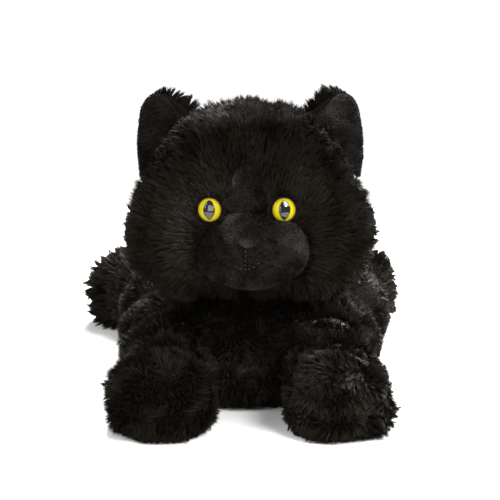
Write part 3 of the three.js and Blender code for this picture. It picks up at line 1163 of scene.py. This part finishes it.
@dataclass
class Eye:
    """A moulded eye: a black back with its post, a painted iris, a slit pupil and a clear dome."""

    side: Side
    finishes: Finishes
    radius: float = 8.1
    height: float = 4.4
    rim_width: float = 0.5
    dome_rise: float = 3.3
    iris_height: float = 2.5
    pupil_half_width: float = 3.7
    pupil_half_height: float = 6.2
    post_radius: float = 2.2

    def __post_init__(self) -> None:
        """Finds the eye's axis from the washer behind the head's skin to the dome."""
        dome = centre_of(f"{self.side.word}_eye_dome")
        washer = centre_of(f"{self.side.word}_eye_washer")
        self.axis = (dome - washer).normalized()
        low, _ = box_of(f"{self.side.word}_eye_dome")
        tip = dome + self.axis * ((low.y - dome.y) / self.axis.y)
        self.middle = tip - self.axis * self.height
        turn = self.axis.to_track_quat("Z", "Y").to_matrix().to_4x4()
        self.place = Matrix.Translation(self.middle * MM) @ turn

    def cap(self, radius: float, height: float, steps: int = 12) -> list[tuple[float, float]]:
        """A round cap's profile from its crown to its edge.

        Args:
            radius: at the edge, in mm.
            height: of the crown above the edge, in mm.
            steps: stretches of the profile.

        Returns:
            Radius and height of each point.
        """
        ball = (radius**2 + height**2) / (2.0 * height)
        most = math.asin(min(1.0, radius / ball))
        angles = [most * step / steps for step in range(steps + 1)]
        return [(ball * math.sin(angle), ball * math.cos(angle) - ball + height) for angle in angles]

    def finish(
        self, obj: bpy.types.Object, material: bpy.types.Material, node: str
    ) -> bpy.types.Object:
        """Dresses a piece of the eye and puts it on the head."""
        wear(obj, material)
        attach(obj, "head")
        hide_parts(f"{self.side.word}_eye_{node}")
        return obj

    def build(self) -> list[bpy.types.Object]:
        """Makes the back with its post and pupil, the iris and the dome."""
        word = self.side.word
        rim, inner = self.radius, self.radius - self.rim_width
        back_profile = [(0.0, -16.0), (self.post_radius, -16.0), (self.post_radius, -2.4), (rim - 0.4, -2.4)]
        back_profile += [(rim, -2.0), (rim + 0.1, 0.3), (inner + 0.15, 0.7), (inner, -0.9), (0.0, -0.9)]
        back = self.finish(
            spun(f"{word}_eye_back", back_profile, self.place), self.finishes.black, "post"
        )
        iris_profile = [(radius, height - 0.4) for radius, height in self.cap(inner - 0.05, self.iris_height)]
        iris_profile += [(inner - 0.05, -0.8), (0.0, -0.8)]
        iris = spun(f"{word}_eye_disc", iris_profile, self.place)
        self.map_disc(iris)
        self.finish(iris, self.finishes.iris, "iris")
        shell = self.cap(inner, self.dome_rise)
        inner_shell = [(radius * 0.95, height - 0.4) for radius, height in reversed(shell)]
        dome = spun(f"{word}_eye_cover", shell + inner_shell, self.place)
        self.finish(dome, self.finishes.clear, "dome")
        pupil = self.pupil()
        return [back, iris, dome, pupil]

    def map_disc(self, iris: bpy.types.Object) -> None:
        """Maps the disc so that its edge lies at a distance of 1 from the map's origin."""
        layer = iris.data.uv_layers.new(name=DISC_MAP)
        inverse = self.place.inverted()
        for loop in iris.data.loops:
            local = inverse @ iris.data.vertices[loop.vertex_index].co
            layer.data[loop.index].uv = (local.x / (self.radius * MM), local.y / (self.radius * MM))

    def pupil(self) -> bpy.types.Object:
        """Makes the upright slit pupil, domed with the iris and pointed at both ends."""
        bm = bmesh.new()
        bmesh.ops.create_grid(bm, x_segments=10, y_segments=24, size=1.0)
        ball = (self.radius**2 + self.iris_height**2) / (2.0 * self.iris_height)
        for vert in bm.verts:
            across = vert.co.x * self.pupil_half_width * (1.0 - abs(vert.co.y) ** 2.1) ** 0.75
            up = vert.co.y * self.pupil_half_height
            rise = math.sqrt(ball**2 - across**2 - up**2) - ball + self.iris_height - 0.25
            vert.co = Vector((across, up, rise)) * MM
        bmesh.ops.remove_doubles(bm, verts=bm.verts, dist=1e-6)
        bmesh.ops.solidify(bm, geom=bm.faces[:], thickness=0.3 * MM)
        bmesh.ops.recalc_face_normals(bm, faces=bm.faces)
        bmesh.ops.transform(bm, matrix=self.place, verts=bm.verts)
        pupil = wear(object_from(f"{self.side.word}_eye_pupil", bm), self.finishes.pupil)
        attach(pupil, "head")
        return pupil

    def off_axis(self, points: Points) -> np.ndarray:
        """How far points lie from the eye's axis, in mm."""
        away = points - np.array(self.middle)
        along = away @ np.array(self.axis)
        return np.linalg.norm(away - along[:, None] * np.array(self.axis), axis=1)


@dataclass
class Head:
    """The stuffed head with a long combed pile round the face and a shorter one behind.

    Lumps are about the point where the head turns on the neck.
    """

    finishes: Finishes
    panel: FacePanel
    eyes: list[Eye]
    lumps: tuple[Lump, ...] = (
        Lump((0.0, -33.0, 57.0), (65.0, 56.0, 54.5)),
        Lump((0.0, -46.0, 40.0), (76.0, 52.0, 47.0)),
        Lump((42.0, -50.0, 31.0), (35.0, 41.0, 38.0)),
        Lump((-42.0, -50.0, 31.0), (35.0, 41.0, 38.0)),
        Lump((36.0, -64.0, 28.0), (32.0, 33.0, 32.0)),
        Lump((-36.0, -64.0, 28.0), (32.0, 33.0, 32.0)),
    )
    voxel: float = 4.0
    relax: int = 4
    face_coat: Pile = Pile(60000, 9.0, 0.60, 0.24, 14, 0.50, 0.30, 0.02, 11)
    crown_coat: Pile = Pile(56000, 7.2, 0.68, 0.56, 9, 0.42, 0.40, 0.02, 12)
    ruff_coat: Pile = Pile(55000, 8.2, 0.69, 0.56, 10, 0.46, 0.44, 0.03, 13)
    face_reach: float = 62.0
    face_fade: float = 22.0
    # Painted light and shade on the head's pile: a painted highlight on the crown, and painted shade over the
    # brow, on the cat's left cheek and low under the head.
    crown_light: float = 1.10
    crown_rise: tuple[float, float] = (94.0, 107.0)
    brow_shade: float = -0.46
    brow_rise: float = 86.0
    brow_spread: float = 13.0
    side_shade: float = -0.32
    side_across: tuple[float, float] = (-20.0, 40.0)
    under_shade: float = -0.30
    under_rise: tuple[float, float] = (-8.0, 26.0)

    def build(self) -> bpy.types.Object:
        """Makes the skin that the pile grows on, and the filling inside it."""
        origin = pivot_of("head_turn")
        self.filled = placed(self.lumps, origin)
        skin = stuffed_shape("head_backing", self.filled, self.voxel, self.relax)
        Plumping(most=1.5).fill(skin)
        wear(skin, self.finishes.backing)
        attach(skin, "head")
        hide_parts("head_skin")
        self.skin = skin
        filling = filling_of("head_fibre", skin, 3.0, 6.0)
        wear(filling, self.finishes.filling)
        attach(filling, "head")
        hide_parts("head_filling")
        return skin

    def muzzle(self) -> np.ndarray:
        """The point that the face's pile is combed away from, in mm."""
        return np.array(self.panel.origin + Vector((-2.0, 22.0, 34.0)))

    def face_share(self, points: Points) -> np.ndarray:
        """1 on the face, 0 on the crown and the ruff."""
        away = np.linalg.norm(points - self.muzzle(), axis=1)
        return 1.0 - ramp_between(away, self.face_reach - self.face_fade, self.face_reach + self.face_fade)

    def bare(self, points: Points) -> np.ndarray:
        """1 where pile may grow: off the panel and clear of the eyes."""
        free = 1.0 - inside(points, self.panel.filled, -1.0).astype(float)
        for eye in self.eyes:
            free *= (eye.off_axis(points) > eye.radius - 0.2) | (points[:, 1] > eye.middle.y + 25.0)
        return free

    def length_share(self, points: Points, normals: Points) -> np.ndarray:
        """Shorter pile near the eyes and the panel."""
        share = np.ones(len(points))
        for eye in self.eyes:
            share = np.minimum(share, 0.42 + 0.58 * ramp_between(eye.off_axis(points), 7.5, 24.0))
        for reach, most in ((14.0, 0.85), (9.0, 0.68), (5.0, 0.5), (2.0, 0.38)):
            share = np.where(inside(points, self.panel.filled, reach), np.minimum(share, most), share)
        return share

    def tint(self, points: Points, normals: Points) -> np.ndarray:
        """A painted highlight on the crown, painted shade over the brow and low under the head, and painted
        shade on the cat's left cheek, which leaves its right cheek lighter; with the dye's uneven patches.
        """
        across, along, rise = (points - np.array(pivot_of("head_turn"))).T
        crown = self.crown_light * ramp_between(rise, *self.crown_rise)
        brow = self.brow_shade * np.exp(-(((rise - self.brow_rise) / self.brow_spread) ** 2))
        side = self.side_shade * ramp_between(across, *self.side_across)
        under = self.under_shade * (1.0 - ramp_between(rise, *self.under_rise))
        face = brow * (along < -18.0) + side * (along < -8.0)
        return crown + face + under - 0.06 + patchy(points, normals)

    def comb(self, points: Points, normals: Points) -> np.ndarray:
        """Away from the muzzle on the face, and back and outward elsewhere."""
        away = points - self.muzzle()
        distance = np.linalg.norm(away, axis=1, keepdims=True)
        face = self.face_share(points)[:, None]
        outward = away / np.maximum(distance, 1.0)
        outward[:, 2] += 0.15
        back = np.array([0.0, 0.32, -0.10]) + 0.12 * unit(points * np.array([1.0, 0.0, 0.0]))
        return outward * face * 1.15 + back * (1.0 - face)

    def dress(self) -> list[bpy.types.Object]:
        """Grows the three coats."""
        ruff_height = pivot_of("head_turn").z + 38.0

        def face(points: Points, normals: Points) -> np.ndarray:
            """Covers the face."""
            return self.bare(points) * self.face_share(points) ** 0.7

        def crown(points: Points, normals: Points) -> np.ndarray:
            """Covers the top and the back."""
            upper = ramp_between(points[:, 2], ruff_height - 12.0, ruff_height + 12.0)
            return self.bare(points) * (1.02 - self.face_share(points)) * upper

        def ruff(points: Points, normals: Points) -> np.ndarray:
            """Covers the cheeks, the chin and the nape."""
            lower = 1.0 - ramp_between(points[:, 2], ruff_height - 12.0, ruff_height + 12.0)
            return self.bare(points) * (1.02 - self.face_share(points)) * lower

        coats = []
        stretches = (
            ("face", self.face_coat, face),
            ("crown", self.crown_coat, crown),
            ("ruff", self.ruff_coat, ruff),
        )
        for word, pile, cover in stretches:
            coat = pile.grow(f"head_{word}_pile", self.skin, self.comb, self.length_share, cover, self.tint)
            wear(coat, self.finishes.pile)
            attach(coat, "head")
            coats.append(coat)
        return coats


@dataclass
class Ear:
    """An ear: a furred back and a smooth velour lining, cupped forward."""

    side: Side
    finishes: Finishes
    voxel: float = 1.6
    lining_voxel: float = 1.1
    cup: float = 5.0
    half_width: float = 19.0
    crease_route: tuple[tuple[float, float], ...] = ((31.0, -3.0), (27.0, 5.0), (20.0, 13.0))
    # Painted light on the lining's nap: one ear is painted as lit, the other as in shade.
    brightness: float = -0.10
    nap: Pile = Pile(6500, 1.3, 0.42, 0.45, 9, 0.3, 0.3, 0.0, 22)
    coat: Pile = Pile(13000, 8.5, 0.70, 0.30, 12, 0.45, 0.35, 0.0, 21)
    bend_start: float = -6.0
    bend_end: float = 12.0

    def __post_init__(self) -> None:
        """Finds the seam and the direction in which the ear stands."""
        self.seam = pivot_of(f"{self.side.word}_ear_fold")
        low, high = box_of(f"{self.side.word}_ear_back")
        crown = Vector(((low.x + high.x) / 2.0, self.seam.y, high.z))
        joint = next(item for item in frame["joints"] if item["name"] == f"{self.side.word}_ear_fold")
        along = Vector(joint["axis"]).normalized()
        self.across = along
        up = crown - self.seam
        self.up = (up - along * up.dot(along)).normalized()

    def cupped(self, obj: bpy.types.Object) -> None:
        """Dishes a piece of the ear, so that its middle lies behind its edges."""
        points = coordinates(obj)
        away = points - np.array(self.seam)
        across = away @ np.array(self.across)
        rise = np.clip((away @ np.array(self.up)) / 38.0, 0.0, 1.0)
        dish = self.cup * (1.0 - np.clip(np.abs(across) / self.half_width, 0.0, 1.0) ** 2)
        points[:, 1] += dish * (1.0 - 0.5 * rise)
        set_coordinates(obj, points)

    def soft_copy(
        self, name: str, node: str, voxel: float, relax: int, grow: float, drop: float
    ) -> bpy.types.Object:
        """A rounded, finer copy of a flat CAD piece.

        Args:
            name: the piece's name.
            node: the CAD node.
            voxel: its fineness, in mm.
            relax: how many times the surface is smoothed.
            grow: how much larger its outline gets.
            drop: how far its inner corner is lowered, in mm.

        Returns:
            The cupped piece.
        """
        bm = bmesh.new()
        bm.from_mesh(frame["nodes"][node].data)
        bmesh.ops.remove_doubles(bm, verts=bm.verts, dist=1e-6)
        obj = object_from(name, bm)
        remeshed(obj, voxel)
        relaxed(obj, relax)
        points = coordinates(obj)
        middle = np.array([points[:, 0].mean(), 0.0, points[:, 2].mean()])
        points += (grow - 1.0) * (points - middle) * np.array([1.0, 0.0, 1.0])
        inward = (self.seam.x - points[:, 0]) * self.side.value
        rise = ramp_between(points[:, 2], self.seam.z, self.seam.z + 40.0)
        points[:, 2] -= drop * ramp_between(inward, -8.0, 12.0) * rise
        set_coordinates(obj, points)
        self.cupped(obj)
        shade_smooth(obj)
        return obj

    def bend(self, obj: bpy.types.Object) -> None:
        """Bakes a piece's placement into its mesh."""
        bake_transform(obj)

    def build(self) -> list[bpy.types.Object]:
        """Makes the back and the lining."""
        word = self.side.word
        self.back = self.soft_copy(f"{word}_ear_backing", f"{word}_ear_back", self.voxel, 3, 0.98, 5.0)
        wear(self.back, self.finishes.backing)
        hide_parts(f"{word}_ear_back")
        lining = self.soft_copy(f"{word}_ear_velour", f"{word}_ear_lining", self.lining_voxel, 2, 1.09, 11.0)
        refine(lining)
        inner = self.across * (1.0 if self.across.x * self.side.value < 0.0 else -1.0)
        welt = [self.seam + self.up * rise + inner * reach for rise, reach in self.crease_route]
        crease(lining, welt, 1.5, -0.9)
        crease(lining, [point + self.up * 2.6 for point in welt], 1.3, 0.8)
        wear(lining, self.finishes.lining)
        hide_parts(f"{word}_ear_lining")
        nap = self.nap.grow(f"{word}_ear_nap", lining, self.upward, full_length, self.facing, self.shaded)
        wear(nap, self.finishes.nap)
        self.bend(nap)
        self.bend(lining)
        return [self.back, lining, nap]

    def upward(self, points: Points, normals: Points) -> np.ndarray:
        """The lining's nap is combed up towards the tip."""
        return np.tile(np.array(self.up) * 0.5, (len(points), 1))

    def facing(self, points: Points, normals: Points) -> np.ndarray:
        """1 on the side of the lining that shows."""
        return (normals[:, 1] < 0.1).astype(float)

    def shaded(self, points: Points, normals: Points) -> np.ndarray:
        """Painted light towards the tip, and painted shade low down and at the outer edge."""
        rise = (points - np.array(self.seam)) @ np.array(self.up)
        outward = (points[:, 0] - self.seam.x) * self.side.value
        shade = 0.34 * ramp_between(rise, 8.0, 34.0) - 0.28 * ramp_between(outward, 0.0, 14.0)
        return shade + self.brightness

    def dress(self) -> bpy.types.Object:
        """Grows the coat on the back, long over the inner edge and clipped at the outer one."""
        inner = -self.side.value

        def comb(points: Points, normals: Points) -> np.ndarray:
            """Up and inward."""
            lean = np.array(self.up) * 0.55 + np.array([0.45 * inner, 0.10, 0.0])
            return np.tile(lean, (len(points), 1))

        def share(points: Points, normals: Points) -> np.ndarray:
            """Short at the outer edge."""
            outward = (points[:, 0] - self.seam.x) * self.side.value
            return 1.0 - 0.84 * ramp_between(outward, -4.0, 9.0)

        def cover(points: Points, normals: Points) -> np.ndarray:
            """The back, and the rim above the lining."""
            away = points - np.array(self.seam)
            return ((normals[:, 1] > -0.25) & (away @ np.array(self.up) > -4.0)).astype(float)

        coat = self.coat.grow(f"{self.side.word}_ear_pile", self.back, comb, share, cover, patchy)
        wear(coat, self.finishes.pile)
        self.bend(coat)
        self.bend(self.back)
        return coat


@dataclass
class Neck:
    """The ball of filling that the head turns on, with a short pile."""

    finishes: Finishes
    radii: tuple[float, float, float] = (26.0, 26.0, 21.0)
    coat: Pile = Pile(5000, 6.0, 0.8, 0.3, 14, 0.4, 0.3, 0.0, 31)

    def build(self) -> list[bpy.types.Object]:
        """Makes the skin, its filling and its coat."""
        middle = centre_of("neck_skin")
        skin = stuffed_shape("neck_backing", [Lump(tuple(middle), self.radii)], 3.0, 2)
        wear(skin, self.finishes.backing)
        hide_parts("neck_skin")
        filling = filling_of("neck_fibre", skin, 3.0, 5.0)
        wear(filling, self.finishes.filling)
        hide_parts("neck_filling")

        def comb(points: Points, normals: Points) -> np.ndarray:
            """Stands straight out."""
            return np.zeros_like(points)

        def cover(points: Points, normals: Points) -> np.ndarray:
            """Its sides, and neither end."""
            return (np.abs(normals[:, 2]) < 0.9).astype(float)

        coat = self.coat.grow("neck_pile", skin, comb, full_length, cover, patchy)
        wear(coat, self.finishes.pile)
        for piece in (skin, filling, coat):
            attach(piece, "neck")
        return [skin, filling, coat]


@dataclass
class Torso:
    """The loaf-shaped body with its short curly pile. Lumps are about the middle of its box, on the floor."""

    finishes: Finishes
    lumps: tuple[Lump, ...] = (
        Lump((0.0, -70.0, 34.0), (90.0, 58.0, 40.0)),
        Lump((0.0, -97.0, 26.0), (74.0, 33.0, 31.0)),
        Lump((0.0, -98.0, 13.0), (64.0, 34.0, 22.0)),
        Lump((0.0, -106.0, 26.0), (48.0, 33.0, 29.0)),
        Lump((3.0, -5.0, 38.0), (97.0, 80.0, 54.0)),
        Lump((0.0, 62.0, 38.0), (91.0, 64.0, 51.0)),
        Lump((0.0, 94.0, 32.0), (73.0, 34.0, 37.0)),
    )
    folds: tuple[tuple[tuple[float, float, float], ...], ...] = (
        ((-56.0, -100.0, 70.0), (-76.0, -92.0, 52.0), (-86.0, -82.0, 28.0), (-86.0, -78.0, 6.0)),
        ((-66.0, -62.0, 82.0), (-90.0, -56.0, 56.0), (-97.0, -48.0, 32.0), (-96.0, -44.0, 8.0)),
        ((84.0, -72.0, 58.0), (94.0, -60.0, 30.0)),
    )
    fold_width: float = 6.5
    fold_depth: float = 6.0
    voxel: float = 5.0
    relax: int = 4
    chest_coat: Pile = Pile(58000, 6.2, 0.65, 0.56, 8, 0.40, 0.36, 0.05, 41)
    flank_coat: Pile = Pile(58000, 6.6, 0.73, 0.50, 9, 0.40, 0.36, 0.05, 42)
    rump_coat: Pile = Pile(36000, 7.0, 0.92, 0.46, 12, 0.48, 0.36, 0.05, 43)

    def build(self) -> bpy.types.Object:
        """Makes the skin, and the filling inside it."""
        low, high = box_of("torso_skin")
        self.origin = Vector(((low.x + high.x) / 2.0, (low.y + high.y) / 2.0, 0.0))
        skin = stuffed_shape("torso_backing", placed(self.lumps, self.origin), self.voxel, self.relax)
        Plumping(most=1.5).fill(skin)
        refine(skin)
        for fold in self.folds:
            crease(skin, [self.origin + Vector(point) for point in fold], self.fold_width, self.fold_depth)
        wear(skin, self.finishes.backing)
        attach(skin, "torso")
        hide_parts("torso_skin")
        self.skin = skin
        filling = filling_of("torso_fibre", skin, 3.0, 7.0)
        wear(filling, self.finishes.filling)
        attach(filling, "torso")
        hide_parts("torso_filling")
        return skin

    def dress(self) -> list[bpy.types.Object]:
        """Grows the coat in three parts from front to back."""
        front, rear = self.origin.y - 55.0, self.origin.y + 30.0

        def comb(points: Points, normals: Points) -> np.ndarray:
            """Loosely back and down, and straight down over the breast."""
            ahead = ramp_between(-normals[:, 1], 0.45, 0.85)[:, None]
            return (1.0 - ahead) * np.array([0.0, 0.22, -0.16]) + ahead * np.array([0.10, 0.0, -0.50])

        def even(points: Points, normals: Points) -> np.ndarray:
            """Full length, but cropped underneath."""
            return 0.35 + 0.65 * ramp_between(points[:, 2], 1.0, 12.0)

        def cover(low: float, high: float) -> Field:
            """Covers a stretch of the body, and almost nothing underneath.

            Args:
                low: where the stretch starts, along Y in mm.
                high: where it ends.

            Returns:
                The field.
            """

            def field_of(points: Points, normals: Points) -> np.ndarray:
                """The cover at points."""
                within = (points[:, 1] >= low) & (points[:, 1] < high)
                return within * np.where(normals[:, 2] < -0.8, 0.06, 1.0)

            return field_of

        coats = []
        stretches = (
            ("chest", self.chest_coat, -math.inf, front),
            ("flank", self.flank_coat, front, rear),
            ("rump", self.rump_coat, rear, math.inf),
        )
        for word, pile, low, high in stretches:
            coat = pile.grow(f"torso_{word}_pile", self.skin, comb, even, cover(low, high), patchy)
            wear(coat, self.finishes.pile)
            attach(coat, "torso")
            coats.append(coat)
        return coats


@dataclass
class Limb:
    """A leg or a part of the tail, placed at its joint with the body before it.

    Lumps have the limb's pivot as their origin, and the limb runs along their Y.
    """

    word: str
    joint: str
    before: str
    after: str
    yaw: float
    lumps: tuple[Lump, ...]
    coat: Pile
    finishes: Finishes
    voxel: float = 3.0
    relax: int = 3
    fill: float = 0.8
    comb_strength: float = 0.45
    bend_start: float = -14.0
    bend_end: float = 16.0
    outer_tufts: float = 0.0

    def build(self) -> list[bpy.types.Object]:
        """Makes the skin, its filling and its coat."""
        pivot = pivot_of(self.joint)
        origin = Vector((pivot.x, pivot.y, 0.0))
        turn = Matrix.Rotation(math.radians(self.yaw), 3, "Z")
        forward = turn @ Vector((0.0, 1.0, 0.0))
        lumps = placed(self.lumps, origin, self.yaw)
        skin = stuffed_shape(f"{self.word}_backing", lumps, self.voxel, self.relax)
        Plumping(most=1.0).fill(skin)
        wear(skin, self.finishes.backing)
        filling = filling_of(f"{self.word}_fibre", skin, 2.6, 5.0)
        wear(filling, self.finishes.filling)
        heading = np.array(forward)

        def comb(points: Points, normals: Points) -> np.ndarray:
            """Along the limb, and straight down over its end."""
            end = ramp_between(normals @ heading, 0.45, 0.85)[:, None]
            return (1.0 - end) * heading * self.comb_strength + end * np.array([0.0, 0.0, -0.55])

        def share(points: Points, normals: Points) -> np.ndarray:
            """Cropped where it lies on the floor, and longest on the side that faces away from the body."""
            outer = ramp_between(normals[:, 0] * np.sign(origin.x), 0.45, 0.95) * (np.abs(origin.x) > 1.0)
            return (0.4 + 0.6 * ramp_between(points[:, 2], 1.0, 9.0)) * (1.0 + self.outer_tufts * outer)

        def cover(points: Points, normals: Points) -> np.ndarray:
            """Almost nothing underneath."""
            return np.where(normals[:, 2] < -0.8, 0.08, 1.0)

        coat = self.coat.grow(f"{self.word}_pile", skin, comb, share, cover, patchy)
        wear(coat, self.finishes.pile)
        for piece in (skin, filling, coat):
            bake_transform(piece)
        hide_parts(f"{self.word}_skin")
        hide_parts(f"{self.word}_filling")
        return [skin, filling, coat]


def foreleg(side: Side, finishes: Finishes) -> Limb:
    """A foreleg, which lies straight forward from under the chest."""
    out = -side.value
    lumps = (
        Lump((0.0, -6.0, 30.0), (31.0, 36.0, 28.0)),
        Lump((2.5 * out, 26.0, 25.0), (29.0, 40.0, 25.5)),
        Lump((4.5 * out, 59.0, 24.0), (31.0, 29.0, 24.5)),
        Lump((4.5 * out, 60.0, 12.0), (30.0, 30.0, 19.0)),
    )
    name = f"{side.word}_foreleg"
    seed = 51 if side is Side.LEFT else 52
    coat = Pile(44000, 6.6, 0.67, 0.58, 8, 0.42, 0.44, 0.03, seed)
    return Limb(name, f"{name}_splay", "torso", name, 180.0, lumps, coat, finishes, outer_tufts=0.45)


def hindleg(side: Side, finishes: Finishes) -> Limb:
    """A hind leg, which lies backward and outward."""
    yaw, reach = (-24.0, 72.0) if side is Side.LEFT else (31.0, 74.0)
    lumps = (
        Lump((0.0, -2.0, 28.0), (25.0, 28.0, 25.0)),
        Lump((0.0, 36.0, 28.0), (25.0, 38.0, 26.0)),
        Lump((0.0, reach - 3.0, 30.0), (26.0, 26.0, 28.0)),
        Lump((0.0, reach - 4.0, 13.0), (24.0, 25.0, 18.0)),
    )
    name = f"{side.word}_hindleg"
    seed = 61 if side is Side.LEFT else 62
    coat = Pile(27000, 12.0, 0.83, 0.42, 16, 0.62, 0.42, 0.03, seed)
    return Limb(name, f"{name}_splay", "torso", name, yaw, lumps, coat, finishes, comb_strength=0.7)


def tail(finishes: Finishes) -> list[Limb]:
    """The two parts of the tail, which lies on the floor and curls to one side."""
    base = (
        Lump((0.0, 2.0, 15.0), (11.5, 15.0, 11.5)),
        Lump((0.0, 35.0, 15.0), (11.5, 36.0, 11.5)),
        Lump((0.0, 62.0, 15.0), (10.5, 12.0, 10.5)),
    )
    tip = (
        Lump((0.0, 4.0, 14.5), (9.5, 12.0, 9.5)),
        Lump((0.0, 30.0, 14.0), (9.0, 32.0, 9.0)),
        Lump((0.0, 54.0, 13.5), (7.5, 11.0, 7.5)),
    )
    coat = Pile(12000, 10.0, 1.05, 0.42, 14, 0.7, 0.4, 0.02, 71)
    tip_coat = Pile(11000, 10.0, 1.05, 0.42, 14, 0.7, 0.4, 0.02, 72)
    common = {"finishes": finishes, "voxel": 2.4, "comb_strength": 0.8, "bend_start": -10.0, "bend_end": 14.0}
    return [
        Limb("tail_base", "tail_swing", "torso", "tail_base", 8.0, base, coat, **common),
        Limb("tail_tip", "tail_tip_curl", "tail_base", "tail_tip", 28.0, tip, tip_coat, **common),
    ]


def carried_over(finishes: Finishes) -> list[bpy.types.Object]:
    """Refinishes the CAD pieces that keep their shape: the washers and the closing seam's thread."""
    kept = {
        "left_eye_washer": finishes.white,
        "right_eye_washer": finishes.white,
        "closing_seam_thread": finishes.thread,
    }
    for node, material in kept.items():
        piece = frame["nodes"][node]
        for slot in piece.material_slots:
            slot.material = material
    return [frame["nodes"][node] for node in kept]


# ---- The studio -----------------------------------------------------------------------------


@dataclass
class Studio:
    """A pale floor, soft light and the camera."""

    camera_at: tuple[float, float, float] = (0.0, -1.065, 0.2736)
    look_down: float = 9.87
    lens: float = 108.0
    backdrop: float = 1.05
    ambient: float = 0.35
    floor_tone: tuple[float, float, float] = (0.88, 0.88, 0.87)
    floor_radius: float = 0.85

    def light(self, name: str, at: tuple[float, float, float], size: float, power: float) -> None:
        """Adds a square softbox that faces the toy.

        Args:
            name: its name.
            at: where it stands, in metres.
            size: of its side, in metres.
            power: in watts.
        """
        data = bpy.data.lights.new(name, "AREA")
        data.shape = "SQUARE"
        data.size = size
        data.energy = power
        lamp = bpy.data.objects.new(name, data)
        lamp.location = at
        aim = Vector((0.0, -0.05, 0.1)) - Vector(at)
        lamp.rotation_euler = aim.to_track_quat("-Z", "Y").to_euler()
        bpy.context.collection.objects.link(lamp)

    def build(self) -> None:
        """Sets up the floor, the lights, the backdrop and the camera."""
        bm = bmesh.new()
        bmesh.ops.create_circle(bm, cap_ends=True, segments=96, radius=self.floor_radius)
        floor = object_from("floor", bm)
        shader = Shader("pale_floor")
        shader.settle(Base_Color=(*self.floor_tone, 1.0), Roughness=0.9, Specular_IOR_Level=0.1)
        floor.data.materials.append(shader.material)
        self.light("key_softbox", (0.62, -0.95, 0.80), 0.62, 31.0)
        self.light("fill_softbox", (-1.05, -0.80, 0.75), 0.80, 14.0)
        self.light("top_softbox", (0.45, 0.90, 1.00), 1.50, 205.0)
        self.light("front_softbox", (-0.35, -1.60, 0.42), 0.80, 14.0)
        world = bpy.data.worlds.new("backdrop")
        world.use_nodes = True
        tree = world.node_tree
        background = tree.nodes["Background"]
        background.inputs["Color"].default_value = (1.0, 1.0, 1.0, 1.0)
        path = tree.nodes.new("ShaderNodeLightPath")
        strength = tree.nodes.new("ShaderNodeMapRange")
        strength.inputs["To Min"].default_value = self.ambient
        strength.inputs["To Max"].default_value = self.backdrop
        tree.links.new(path.outputs["Is Camera Ray"], strength.inputs["Value"])
        tree.links.new(strength.outputs["Result"], background.inputs["Strength"])
        bpy.context.scene.world = world
        data = bpy.data.cameras.new("camera")
        data.lens = self.lens
        data.sensor_width = 36.0
        camera = bpy.data.objects.new("camera", data)
        camera.location = self.camera_at
        camera.rotation_euler = (math.radians(90.0 - self.look_down), 0.0, 0.0)
        bpy.context.collection.objects.link(camera)
        bpy.context.scene.camera = camera
        bpy.context.scene.view_settings.view_transform = "Standard"


def report(pieces: list[bpy.types.Object]) -> None:
    """Logs each finished piece."""
    for piece in pieces:
        log.info("%s: %d faces", piece.name, len(piece.data.polygons))


def main() -> None:
    """Builds the cat and its studio."""
    logging.basicConfig(level=logging.INFO, format="%(name)s %(message)s")
    Studio().build()
    finishes = Finishes()
    panel = FacePanel(finishes)
    report([panel.build(), panel.nose(), panel.mouth()])
    eyes = [Eye(side, finishes) for side in Side]
    for eye in eyes:
        report(eye.build())
    head = Head(finishes, panel, eyes)
    report([head.build()])
    report([*head.dress(), panel.dress(head.filled)])
    for side in Side:
        # Painted light: the cat's left ear lining is painted much lighter than its right one.
        ear = Ear(side, finishes, brightness=0.60 if side is Side.LEFT else -0.02)
        report(ear.build())
        report([ear.dress()])
    report(Neck(finishes).build())
    torso = Torso(finishes)
    report([torso.build()])
    report(torso.dress())
    for side in Side:
        report(foreleg(side, finishes).build())
        report(hindleg(side, finishes).build())
    for part in tail(finishes):
        report(part.build())
    report(carried_over(finishes))


if __name__ == "__main__":
    main()
